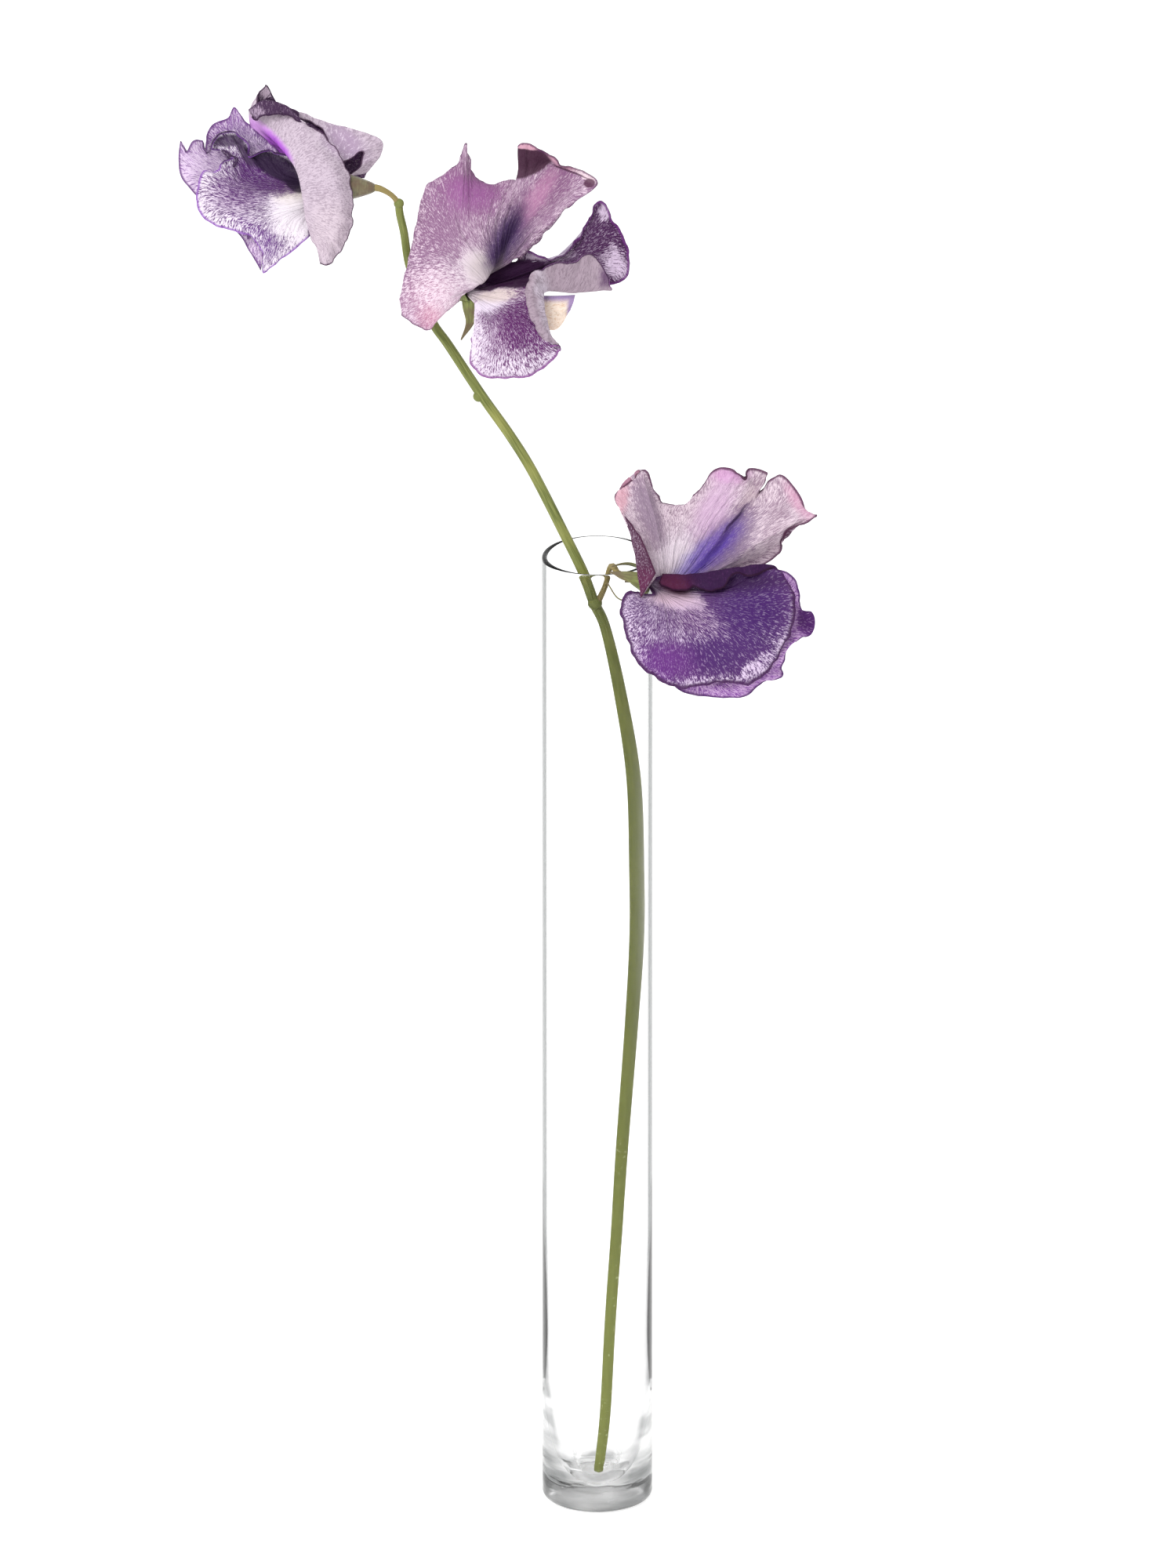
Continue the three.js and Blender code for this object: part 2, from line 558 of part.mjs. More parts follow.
const TOP_KEEL = [
  [
    [1.4, -1, 0], [1.4, -1.5, 0], [1.4, -2, 0],
  ],
  [
    [-8, -3, 1.2], [-8.4, -5, 1.1], [-8.8, -6.6, 0.3], [-8.4, -5, -0.5], [-8, -3, -0.6],
  ],
  [
    [-16, -2, 3.4], [-15.6, -5, 3.2], [-15, -7.6, 2.2], [-15.6, -5, 1.2], [-16, -2, 1],
  ],
  [
    [-20, -2.6, 3.8], [-19.6, -4, 3.6], [-19.2, -5.2, 3], [-19.6, -4, 2.2], [-20, -2.6, 2],
  ],
];

const shifted = ([x, y, z], side, reach) => [
  x + side[0] * reach,
  y + side[1] * reach,
  z + side[2] * reach,
];

// A calyx tooth along a path from its root to its tip: widest near the root, pointed at the tip.
const TOOTH_TAPER = [1, 1, 0.6, 0.12];
function toothRows(path, side, halfWidth) {
  const unit = point(side).normalize().toArray();
  return path.map((p, i) =>
    [-1, 0, 1].map((turn) => shifted(p, unit, turn * halfWidth * TOOTH_TAPER[i])),
  );
}

// Teeth round the mouth of a cup whose axis runs along x, flaring outwards. Each is placed by
// its angle from the viewer's side, clear of the petals that leave the cup.
const FLARE = [
  [0.2, 2.95],
  [-0.7, 3.9],
  [-1.4, 4.6],
  [-2, 5.2],
];
const FLARE_ANGLES = [40, 95, 150, 205, 270];
function flaredTeeth([x, y, z], halfWidth) {
  return FLARE_ANGLES.map((angle) => {
    const turn = THREE.MathUtils.degToRad(angle);
    const path = FLARE.map(([dx, r]) => [x + dx, y + r * Math.sin(turn), z + r * Math.cos(turn)]);
    return toothRows(path, [0, Math.cos(turn), -Math.sin(turn)], halfWidth);
  });
}

const LOWER_CALYX = {
  base: [-7.3, 0.5, -0.8],
  mouth: [-2.3, -0.5, 0],
  teeth: [
    toothRows(
      [[-2.8, 2.4, -0.6], [-6.4, 3.9, -0.8], [-9, 4.2, -1], [-12, 3.6, -1]],
      [0, 0.3, 1],
      1.4,
    ),
    toothRows(
      [[-2.9, 0, 2.8], [-5.8, 0.4, 2.7], [-8.8, 1.2, 2.6], [-12.4, 2, 2.2]],
      [0, 1, 0],
      1.7,
    ),
    toothRows(
      [[-2.9, -3, 1.1], [-6.4, -5, 0.8], [-10.2, -4.6, 0.6], [-13, -0.6, 0.4]],
      [0, 0, 1],
      0.9,
    ),
    toothRows(
      [[-2.8, 0.7, -2.85], [-5.4, 0.6, -4], [-7, 0.2, -4.6], [-8.6, -0.4, -5]],
      [0, 1, 0.2],
      1.3,
    ),
    toothRows(
      [[-3.3, -2.6, -2], [-5, -4, -2.4], [-7, -5, -2.8], [-9, -5.6, -3]],
      [0, -0.5, 1],
      1.1,
    ),
  ],
};
const MIDDLE_CALYX = {
  base: [-7.6, -1.5, -2.4],
  mouth: [-2.3, -0.5, 0],
  teeth: [
    toothRows(
      [[-2.5, -3.1, 0.8], [-2.1, -5.4, 1.1], [-2, -9, 1.4], [-4.2, -13.2, 2]],
      [1, -0.1, -0.1],
      1.7,
    ),
    toothRows(
      [[-3.5, -1, 2.3], [-5.2, -1.4, 1.4], [-7, -2.2, 0.4], [-9, -3.6, -0.6]],
      [0.2, 1, 0],
      1.2,
    ),
    toothRows(
      [[-3.1, 2.1, 1.4], [-4.6, 3.4, 0.8], [-6.6, 4.8, 0], [-8.6, 6, -1.2]],
      [-0.25, -0.53, 0.77],
      1.2,
    ),
    toothRows(
      [[-2.4, 0.3, -2.75], [-2.6, 1.2, -4.2], [-2.8, 2.6, -5.4], [-3.8, 3.8, -6.6]],
      [1, 0.2, 0.3],
      0.9,
    ),
    toothRows(
      [[-1.6, -2.2, -2.25], [-1.4, -3.4, -4.2], [-2, -4.8, -5.6], [-2.8, -6, -6.6]],
      [1, 0.3, 0],
      0.9,
    ),
  ],
};
const TOP_CALYX = {
  base: [7.9, -0.6, -0.2],
  mouth: [1, -0.4, 0],
  teeth: flaredTeeth([1, -0.4, 0], 1.1),
};

// How finely each kind of petal is divided across and along
const FINENESS = { standard: [26, 8], wing: [20, 7], keel: [8, 6] };

function petal(name, rows, kind, material) {
  const [across, along] = FINENESS[kind];
  return named(name, meshOf(bladeSolid(rows, across, along, PETAL_THICKNESS)), material);
}

function flower({ name, place, calyx, standard, wingNear, wingFar, keel }) {
  const group = new THREE.Group();
  group.position.set(...place);
  group.rotation.x = Math.PI / 2 - VIEW_DROP;
  group.add(named("calyx_" + name, calyxGeometry(calyx), calyxGreen));
  group.add(petal("standard_" + name, standard, "standard", standardLilac));
  group.add(petal("wing_near_" + name, wingNear, "wing", wingPurple));
  group.add(petal("wing_far_" + name, wingFar, "wing", wingPurple));
  group.add(petal("keel_" + name, keel, "keel", keelCream));
  return group;
}

// Where the mouth of each flower's calyx is
const FLOWERS = [
  {
    name: "lower",
    place: [15.6, -19, 260.7],
    calyx: LOWER_CALYX,
    standard: LOWER_STANDARD,
    wingNear: LOWER_WING_NEAR,
    wingFar: LOWER_WING_FAR,
    keel: LOWER_KEEL,
  },
  {
    name: "middle",
    place: [-30.4, -17, 339.7],
    calyx: MIDDLE_CALYX,
    standard: MIDDLE_STANDARD,
    wingNear: MIDDLE_WING_NEAR,
    wingFar: MIDDLE_WING_FAR,
    keel: MIDDLE_KEEL,
  },
  {
    name: "top",
    place: [-64.4, -8, 364.1],
    calyx: TOP_CALYX,
    standard: TOP_STANDARD,
    wingNear: TOP_WING_NEAR,
    wingFar: TOP_WING_FAR,
    keel: TOP_KEEL,
  },
];

const part = new THREE.Group();
part.add(named("vase", vaseGeometry(), glass));
part.add(named("stem", stemGeometry(), stemGreen));
for (const spec of FLOWERS) part.add(flower(spec));

export default part;
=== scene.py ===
# A cut sweet pea stem with three open flowers, standing in a slim clear glass tube vase.
# Metres, +Z up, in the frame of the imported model. Petal sizes are written in millimetres.
import math

import bmesh
import bpy
import numpy as np
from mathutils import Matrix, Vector


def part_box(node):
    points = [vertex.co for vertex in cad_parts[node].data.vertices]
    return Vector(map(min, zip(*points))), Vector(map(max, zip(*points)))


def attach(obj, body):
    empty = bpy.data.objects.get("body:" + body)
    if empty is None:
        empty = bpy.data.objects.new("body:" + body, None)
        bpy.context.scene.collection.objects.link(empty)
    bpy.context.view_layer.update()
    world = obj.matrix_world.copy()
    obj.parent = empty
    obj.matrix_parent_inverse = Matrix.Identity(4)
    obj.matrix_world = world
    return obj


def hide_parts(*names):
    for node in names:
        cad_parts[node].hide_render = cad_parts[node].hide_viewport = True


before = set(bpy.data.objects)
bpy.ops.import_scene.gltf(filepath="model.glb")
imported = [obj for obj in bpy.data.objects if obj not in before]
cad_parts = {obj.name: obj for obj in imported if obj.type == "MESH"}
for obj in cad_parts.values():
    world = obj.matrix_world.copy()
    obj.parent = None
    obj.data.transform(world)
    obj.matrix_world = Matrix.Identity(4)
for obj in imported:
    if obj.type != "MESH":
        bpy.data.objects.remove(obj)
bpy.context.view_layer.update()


# Vase: a slim tube of clear drawn glass with a heavy pressed foot. The rim is melted round in a
# flame, and the hollow ends in a bullet shape over about 5 mm of solid glass. It stands freely.
MM, TINY = 0.001, 1e-9
VASE_RADIUS, _, VASE_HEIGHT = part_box("vase")[1]
VASE_WALL, VASE_FOOT_ROUND = 1.4 * MM, 1.6 * MM
VASE_SIDES, VASE_RINGS, VASE_ARC_STEPS = 192, 24, 10
BEND_GAP, SPIN_RADIUS, WELD = 0.1 * MM, 10 * MM, 0.001 * MM
# Radius and height of the hollow's wall, from its floor up to the straight tube
VASE_HOLLOW = [(0, 4.6), (2.6, 5.2), (4.8, 7.2), (6.8, 12), (8.4, 21), (9.8, 36), (11.4, 54),
               (12.4, 70), (12.8, 88)]
MOULD_WAVE, MOULD_RIPPLE = (16 * MM, 16 * MM, 4 * MM), 1 * MM


def linear(hex_colour):
    """An sRGB hex colour as linear red, green, blue and alpha."""
    parts = [int(hex_colour[i : i + 2], 16) / 255 for i in (1, 3, 5)]
    return tuple(c / 12.92 if c <= 0.04045 else ((c + 0.055) / 1.055) ** 2.4 for c in parts) + (1,)


def add(tree, kind, **given):
    """Adds a node with its settings and links. Each is named for a property or a socket, with _
    for a space and _0 for the first socket. A node or a socket is linked, a hex colour turned
    linear."""
    node = tree.nodes.new(kind)
    for key, value in given.items():
        if hasattr(node, key):
            setattr(node, key, value)
            continue
        socket = node.inputs[int(key[1:]) if key[1:].isdigit() else key.replace("_", " ")]
        if isinstance(value, bpy.types.Node):
            value = next(end for end in value.outputs if end.enabled)
        if isinstance(value, bpy.types.NodeSocket):
            tree.links.new(value, socket)
        else:
            is_colour = isinstance(value, str) and value[0] == "#"
            socket.default_value = linear(value) if is_colour else value
    return node


def new_material(name):
    """A material with an empty node tree."""
    material = bpy.data.materials.new(name)
    material.use_nodes = True
    material.node_tree.nodes.clear()
    return material, material.node_tree


def new_tree(name, sockets):
    """A Geometry Nodes tree with a geometry in and out and named inputs for its sizes."""
    tree = bpy.data.node_groups.new(name, "GeometryNodeTree")
    tree.interface.new_socket("Geometry", in_out="INPUT", socket_type="NodeSocketGeometry")
    for label, kind in sockets.items():
        tree.interface.new_socket(label, in_out="INPUT", socket_type="NodeSocket" + kind)
    tree.interface.new_socket("Geometry", in_out="OUTPUT", socket_type="NodeSocketGeometry")
    return tree, add(tree, "NodeGroupInput").outputs


def finish_tree(tree, geometry, material):
    """Ends a tree in real, plain, smooth geometry with its material."""
    smooth = add(tree, "GeometryNodeSetShadeSmooth", Geometry=geometry)
    real = add(tree, "GeometryNodeRealizeInstances", Geometry=smooth)
    dressed = add(tree, "GeometryNodeSetMaterial", Material=material, Geometry=real)
    add(tree, "NodeGroupOutput", Geometry=dressed)
    return tree


def placed(name, data):
    """An object at the origin, in the scene."""
    piece = bpy.data.objects.new(name, data)
    bpy.context.scene.collection.objects.link(piece)
    return piece


def grown(name, mesh, tree, values):
    """The plain mesh that a Geometry Nodes tree makes of a mesh, as an object at the origin."""
    source = placed(name + "_source", mesh)
    modifier = source.modifiers.new("nodes", "NODES")
    modifier.node_group = tree
    for item in tree.interface.items_tree:
        if item.in_out == "INPUT" and item.name in values:
            modifier[item.identifier] = values[item.name]
    seen = source.evaluated_get(bpy.context.evaluated_depsgraph_get())
    made = bpy.data.meshes.new_from_object(seen)
    made.name = name
    bpy.data.objects.remove(source)
    return placed(name, made)


def through(points, share):
    """Points of a smooth curve through given points, at shares of its run from 0 to 1."""
    points = np.asarray(points, float)
    padded = np.concatenate([[2 * points[0] - points[1]], points, [2 * points[-1] - points[-2]]])
    at = np.clip(np.asarray(share) * (len(points) - 1), 0, len(points) - 1 - TINY)
    first = at.astype(int)
    t = (at - first).reshape((-1,) + (1,) * (points.ndim - 1))
    a, b, c, d = (padded[first + k] for k in range(4))
    return b + 0.5 * t * (c - a + t * (2 * a - 5 * b + 4 * c - d + t * (3 * (b - c) + d - a)))


def vase_profile():
    """The turned outline of the glass, from the middle of the foot round to the hollow's floor.
    Rings close to each bend keep the shine of the long straight walls from bending with it."""
    lip, bend = VASE_WALL / 2, VASE_FOOT_ROUND
    foot = [(VASE_RADIUS - bend * (1 - math.sin(t)), bend * (1 - math.cos(t)))
            for t in np.linspace(0, math.pi / 2, VASE_ARC_STEPS)]
    rim = [(VASE_RADIUS - lip + lip * math.cos(t), VASE_HEIGHT - lip + lip * math.sin(t))
           for t in np.linspace(0, math.pi, VASE_ARC_STEPS)]
    hollow = through(np.array(VASE_HOLLOW) * MM, np.linspace(0, 1, 2 * VASE_RINGS))[::-1]
    top = VASE_HEIGHT - lip - BEND_GAP
    outer_wall = [(VASE_RADIUS, z) for z in np.linspace(bend + BEND_GAP, top, VASE_RINGS)]
    inner_wall = [(VASE_RADIUS - VASE_WALL, z)
                  for z in np.linspace(top, hollow[0][1] + BEND_GAP, VASE_RINGS)]
    underside = [(0, 0), (0.5 * foot[0][0], 0), (foot[0][0] - BEND_GAP, 0)]
    return underside + foot + outer_wall + rim + inner_wall + [tuple(p) for p in hollow]


def turned_tree(material):
    """Turns an outline of radius and height round the upright axis into a closed form."""
    tree, given = new_tree("turned_glass", {"Sides": "Int"})
    circle = add(tree, "GeometryNodeCurvePrimitiveCircle", Radius=SPIN_RADIUS,
                 Resolution=given["Sides"])
    outline = add(tree, "GeometryNodeMeshToCurve", Mesh=given["Geometry"])
    skin = add(tree, "GeometryNodeCurveToMesh", Curve=circle, Profile_Curve=outline)
    closed = add(tree, "GeometryNodeMergeByDistance", Distance=WELD, Geometry=skin)
    return finish_tree(tree, closed, material)


def vase_glass():
    """Soda-lime glass, drawn and fire polished: colourless and clear face on. A painted grey edge
    where the eye looks along the wall stands in for the dark surroundings seen there. The thick
    glass low down has painted grey at its sides, so that a clear U stands between them, and faint
    painted grey in the foot, both standing in for darker surroundings that thick glass refracts.
    The foot keeps the slow waves of the mould, about 4 mm high and 16 mm long. The underside is
    ground, so it is dull."""
    material, tree = new_material("fire_polished_soda_lime_glass")
    facing = add(tree, "ShaderNodeLayerWeight", Blend=0.5).outputs["Facing"]
    place = add(tree, "ShaderNodeTexCoord").outputs["Object"]
    height = add(tree, "ShaderNodeSeparateXYZ", Vector=place).outputs["Z"]
    level = add(tree, "ShaderNodeVectorMath", operation="MULTIPLY", _0=place, _1=(1, 1, 0))
    radius = add(tree, "ShaderNodeVectorMath", operation="LENGTH", _0=level)
    banded = add(tree, "ShaderNodeMapping", Vector=place, Scale=[1 / s for s in MOULD_WAVE])
    flow = add(tree, "ShaderNodeTexNoise", Scale=1, Detail=2, Vector=banded)
    # What each fade reads, the values it runs between, and what it gives at its two ends
    edge, above_foot, outside, streak, foot, turn, low, ground = (
        add(tree, "ShaderNodeMapRange", Value=source, From_Min=start, From_Max=end, To_Min=first,
            To_Max=last)
        for source, start, end, first, last in (
            (facing, 0.56, 0.66, 0, 1), (height, 22 * MM, 70 * MM, 0, 1),
            (radius, VASE_RADIUS - 0.7 * VASE_WALL, VASE_RADIUS - 0.4 * VASE_WALL, 0, 1),
            (flow, 0.38, 0.62, 0.35, 1), (height, 7 * MM, 2 * MM, 0, 1),
            (height, 0, 46 * MM, 0, 0.62), (height, 14 * MM, 4 * MM, 0, 1),
            (height, 0.9 * MM, 0.2 * MM, 0.01, 0.4)))
    beyond = add(tree, "ShaderNodeMath", operation="SUBTRACT", _0=facing, _1=turn)
    thick = add(tree, "ShaderNodeMapRange", Value=beyond, From_Max=0.14)
    wall_edge, thick_side, painted_foot_shade, waves = (
        add(tree, "ShaderNodeMath", operation="MULTIPLY", _0=first, _1=second)
        for first, second in ((edge, above_foot), (thick, outside), (foot, streak), (flow, low)))
    painted_edge_shade, painted_side_shade = (
        add(tree, "ShaderNodeMath", operation="MULTIPLY", _0=first, _1=second)
        for first, second in ((wall_edge, outside), (thick_side, streak)))
    # Painted shade: grey in the foot, at the thick sides low down and along the wall's edges
    colour = "#FFFFFF"
    for share, grey in ((painted_foot_shade, "#A6A7A7"), (painted_side_shade, "#828484"),
                        (painted_edge_shade, "#565959")):
        colour = add(tree, "ShaderNodeMix", data_type="RGBA", _0=share, _6=colour, _7=grey)
    ripple = add(tree, "ShaderNodeBump", Strength=0.7, Distance=MOULD_RIPPLE, Height=waves)
    glass = add(tree, "ShaderNodeBsdfPrincipled", IOR=1.5, Specular_Tint="#595959",
                Transmission_Weight=1, Base_Color=colour, Roughness=ground, Normal=ripple)
    add(tree, "ShaderNodeOutputMaterial", Surface=glass)
    return material


def make_vase():
    outline = bpy.data.meshes.new("vase_outline")
    points = [(r - SPIN_RADIUS, -h, 0) for r, h in reversed(vase_profile())]
    outline.from_pydata(points, [(i, i + 1) for i in range(len(points) - 1)], [])
    vase = grown("glass_tube_vase", outline, turned_tree(vase_glass()), {"Sides": VASE_SIDES})
    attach(vase, "root")
    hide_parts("vase")


make_vase()


# Stem: a fresh green flower stalk, a little flattened and ribbed along its length, cut off square
# in the foot of the vase. It leans on the right wall, crosses the front of the rim and bends to
# the left. A thin stalk grows out of a small swelling for each flower.
# Points of its middle line, in millimetres, from the cut foot to the tip
STEM_PATH = [
    (0.3, 0, 5.5), (2, -0.5, 22), (3.4, -1, 49), (4.9, -1.5, 73), (6.2, -1.8, 96), (8.6, -2.2, 131),
    (9.9, -2.3, 155), (9.9, -2.5, 174), (9, -4, 201), (5.6, -6.6, 225.4), (2, -8.6, 243.6),
    (-0.8, -9.7, 251), (-3.4, -10.2, 258.8), (-8, -11.2, 269.4), (-16.4, -11.4, 287.2),
    (-22.4, -11.2, 297.5), (-29.2, -10.5, 307.5), (-37.8, -9.2, 321), (-41.4, -8.7, 326.2),
    (-44.4, -8.2, 332.9), (-47.8, -8, 342.5), (-49.1, -8, 351.2), (-50.2, -8, 356.5),
    (-50.4, -8, 359.6)]
# Half its thickness in millimetres, evenly spaced along it
STEM_RADII = [1.35, 1.5, 1.5, 1.55, 1.7, 1.75, 1.95, 1.9, 1.75, 1.35, 1.3, 1.3, 1.25, 1.1, 1.0]
# Each stalk runs from inside the stem to just inside its calyx
STALK_PATHS = [
    [(-0.2, -9.9, 250.6), (1.8, -10.6, 255.6), (3.2, -12, 261.3), (4.2, -14.2, 262.4),
     (5.2, -16.6, 261.6), (7.6, -17.8, 260.9), (9, -18.2, 260.8)],
    [(-42.6, -8.6, 328.2), (-42.2, -11, 331), (-40.8, -13.6, 334.6), (-38.8, -14.9, 336.9),
     (-37.2, -15.6, 337.8)],
    [(-50.4, -8, 358.6), (-51.4, -8, 360.6), (-53.2, -8, 362.2), (-55.6, -8, 363.4),
     (-57.4, -8.1, 363.5)],
]
STALK_RADII = [0.84, 0.7, 0.7, 0.84, 0.95]
# Centre and radius of each swelling where a stalk grows out
STEM_SWELLINGS = [(-0.6, -9.9, 251, 1.8), (-30.2, -10.4, 307.6, 1.45), (-42.2, -8.7, 327.6, 1.55),
                  (-50.4, -8, 359.2, 1.3)]
# Length of a step, sides and ribs round it, and a rib's height as a share of the radius
STEM_SIZES = {"Step": 1.1 * MM, "Sides": 36, "Ribs": 6.0, "Rib Height": 0.045}
FIBRES_ROUND, FIBRE_LENGTH = 26, 9 * MM
MOTTLE_SIZE, PALE_DOT_SIZE = 14 * MM, 0.9 * MM


def stem_lines():
    """A mesh of loose lines, one for the stem and one for each stalk, with their radii."""
    points, edges, radii, stalks = [], [], [], []
    for path, widths in [(STEM_PATH, STEM_RADII)] + [(path, STALK_RADII) for path in STALK_PATHS]:
        line = np.array(path) * MM
        steps = np.linalg.norm(np.diff(line, axis=0), axis=1)
        along = np.concatenate([[0], np.cumsum(steps)]) / steps.sum()
        first = len(points)
        points += [tuple(p) for p in line]
        edges += [(first + i, first + i + 1) for i in range(len(line) - 1)]
        radii += list(np.interp(along, np.linspace(0, 1, len(widths)), widths) * MM)
        stalks += [float(path in STALK_PATHS)] * len(line)
    mesh = bpy.data.meshes.new("stem_lines")
    mesh.from_pydata(points, edges, [])
    for label, values in (("thick", radii), ("stalk", stalks)):
        mesh.attributes.new(label, "FLOAT", "POINT").data.foreach_set("value", values)
    return mesh


def rod_tree(material):
    """A ribbed rod along each line of the mesh, as thick as its 'thick' attribute. The mesh keeps
    'along', the length from the line's start, and 'round', the share of a turn about it."""
    tree, given = new_tree("ribbed_stalk", {"Step": "Float", "Sides": "Int", "Ribs": "Float",
                                            "Rib Height": "Float"})
    thick = add(tree, "GeometryNodeInputNamedAttribute", data_type="FLOAT", Name="thick")
    lines = add(tree, "GeometryNodeMeshToCurve", Mesh=given["Geometry"])
    kind = add(tree, "GeometryNodeCurveSplineType", spline_type="CATMULL_ROM", Curve=lines)
    paths = add(tree, "GeometryNodeResampleCurve", mode="LENGTH", Curve=kind, Length=given["Step"])
    place = add(tree, "GeometryNodeSplineParameter").outputs
    marked = add(tree, "GeometryNodeStoreNamedAttribute", data_type="FLOAT", Name="along",
                 Geometry=paths, Value=place["Length"])
    ring = add(tree, "GeometryNodeCurvePrimitiveCircle", Radius=1, Resolution=given["Sides"])
    turn = add(tree, "ShaderNodeMath", operation="MULTIPLY", _0=place["Factor"], _1=2 * math.pi)
    ribs = add(tree, "ShaderNodeMath", operation="MULTIPLY", _0=turn, _1=given["Ribs"])
    wave = add(tree, "ShaderNodeMath", operation="SINE", _0=ribs)
    swell = add(tree, "ShaderNodeMath", operation="MULTIPLY_ADD", _0=wave,
                _1=given["Rib Height"], _2=1)
    spot = add(tree, "GeometryNodeInputPosition")
    ribbed = add(tree, "ShaderNodeVectorMath", operation="SCALE", _0=spot, Scale=swell)
    section = add(tree, "GeometryNodeSetPosition", Geometry=ring, Position=ribbed)
    sided = add(tree, "GeometryNodeStoreNamedAttribute", data_type="FLOAT", Name="round",
                Geometry=section, Value=place["Factor"])
    rods = add(tree, "GeometryNodeCurveToMesh", Fill_Caps=True, Curve=marked, Profile_Curve=sided,
               Scale=thick)
    return finish_tree(tree, rods, material)


def stem_skin():
    """Living stalk: a waxy green skin over ribs of stiff fibre, so it is satin, lighter along the
    ribs and browner at the thin stalks. Fibres about 0.4 mm apart are drawn as fine streaks, and
    pale dots about 0.6 mm wide are scattered near the foot."""
    material, tree = new_material("waxy_green_stalk")
    along, round_it, stalk = (add(tree, "ShaderNodeAttribute", attribute_name=name).outputs["Fac"]
                              for name in ("along", "round", "stalk"))
    place = add(tree, "ShaderNodeTexCoord").outputs["Object"]
    height = add(tree, "ShaderNodeSeparateXYZ", Vector=place).outputs["Z"]
    lengths, turns, browned = (
        add(tree, "ShaderNodeMath", operation="MULTIPLY", _0=source, _1=times)
        for source, times in ((along, 1 / FIBRE_LENGTH), (round_it, FIBRES_ROUND), (stalk, 0.75)))
    fibre_place = add(tree, "ShaderNodeCombineXYZ", X=turns, Y=lengths)
    fibres, blotch, dot_noise = (
        add(tree, "ShaderNodeTexNoise", Scale=scale, Detail=detail, Vector=source)
        for source, scale, detail in ((fibre_place, 1, 3), (place, 1 / MOTTLE_SIZE, 2),
                                      (place, 1 / PALE_DOT_SIZE, 1)))
    # What each fade reads, the values it runs between, and how much it gives at most
    streak, mottle, low, foot, pale_dots = (
        add(tree, "ShaderNodeMapRange", Value=source, From_Min=start, From_Max=end, To_Max=most)
        for source, start, end, most in (
            (fibres, 0.35, 0.68, 1), (blotch, 0.5, 0.75, 0.45), (height, 270 * MM, 200 * MM, 0.8),
            (height, 140 * MM, 50 * MM, 0.6), (dot_noise, 0.66, 0.72, 1)))
    low_pale_dots = add(tree, "ShaderNodeMath", operation="MULTIPLY", _0=pale_dots, _1=foot)
    # Dark and light green streaks, then yellowed, aged, paler at the foot, tan stalks and pale dots
    colour = "#565E2A"
    for share, tint in ((streak, "#858A50"), (mottle, "#A9A65C"), (low, "#70772F"),
                        (foot, "#939A52"), (browned, "#8E7A50"), (low_pale_dots, "#D2D69C")):
        colour = add(tree, "ShaderNodeMix", data_type="RGBA", _0=share, _6=colour, _7=tint)
    bump = add(tree, "ShaderNodeBump", Strength=0.35, Distance=0.15 * MM, Height=fibres)
    skin = add(tree, "ShaderNodeBsdfPrincipled", Roughness=0.5, IOR=1.42, Specular_IOR_Level=0.3,
               Base_Color=colour, Normal=bump)
    add(tree, "ShaderNodeOutputMaterial", Surface=skin)
    return material


def make_stem():
    stem = grown("green_stem", stem_lines(), rod_tree(stem_skin()), STEM_SIZES)
    shape = bmesh.new()
    shape.from_mesh(stem.data)
    for x, y, z, radius in STEM_SWELLINGS:
        knot = bmesh.ops.create_icosphere(shape, subdivisions=4, radius=radius * MM)
        bmesh.ops.translate(shape, verts=knot["verts"], vec=Vector((x, y, z)) * MM)
    for face in shape.faces:
        face.smooth = True
    shape.to_mesh(stem.data)
    shape.free()
    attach(stem, "root")
    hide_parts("stem")


make_stem()


# Calyces: each flower sits in a small green cup with five pointed sepals that has grown in one
# piece. The cup is downy and ribbed, and the sepals are flushed brown purple at their tips.
CUP_WALL, CUP_FLOOR = 0.35, 0.12
CUP_RINGS, CUP_SIDES = 10, 40
CUP_RIBS, CUP_RIB_HEIGHT = 10, 0.03
# Radius of the cup, and how far along its axis from base to mouth
CUP_OUTLINE = [(0.02, 0), (1.04, 0.02), (2.2, 0.45), (3.3, 1)]
SEPAL_THICKNESS, SEPAL_EDGE_THINNING, SEPAL_BOW, SEPAL_LENGTH = 0.34, 0.6, 0.12, 10
SEPAL_TAPER = [0.9, 1, 0.62, 0.08]
SEPAL_ACROSS, SEPAL_ALONG = 14, 36
VIEW_DROP = math.radians(22)
# Where the mouth of each flower's calyx is, in millimetres. A flower's own frame has x to the
# right, y up the view and z towards a viewer who looks down on the flowers by the view drop.
PLACES = {"lower": (15.6, -19, 260.7), "middle": (-30.4, -17, 339.7), "top": (-64.4, -8, 364.1)}


def petal_grid(rows, across, along):
    """Points on the surface through rows of points, as along + 1 lines of across + 1 points."""
    u = np.linspace(0, 1, across + 1)
    return through(np.stack([through(row, u) for row in rows]), np.linspace(0, 1, along + 1))


def unit(vectors):
    """The same directions with a length of 1."""
    return vectors / np.maximum(np.linalg.norm(vectors, axis=-1, keepdims=True), TINY)


def fronts(grid, passes):
    """The direction of the front at each point of a grid, evened out between neighbours."""
    normals = np.cross(np.gradient(grid, axis=1), np.gradient(grid, axis=0))
    for _ in range(passes):
        normals = unit(normals)
        wide = np.pad(normals, ((1, 1), (1, 1), (0, 0)), mode="edge")
        normals = normals + wide[:-2, 1:-1] + wide[2:, 1:-1] + wide[1:-1, :-2] + wide[1:-1, 2:]
    return unit(normals)


def in_frame(points, place):
    """Points of a flower's own frame, in millimetres, in the frame of the model."""
    x, y, z = np.moveaxis(np.asarray(points, float), -1, 0)
    up, back = math.sin(VIEW_DROP), math.cos(VIEW_DROP)
    return (np.stack([x, up * y - back * z, back * y + up * z], axis=-1) + np.array(place)) * MM


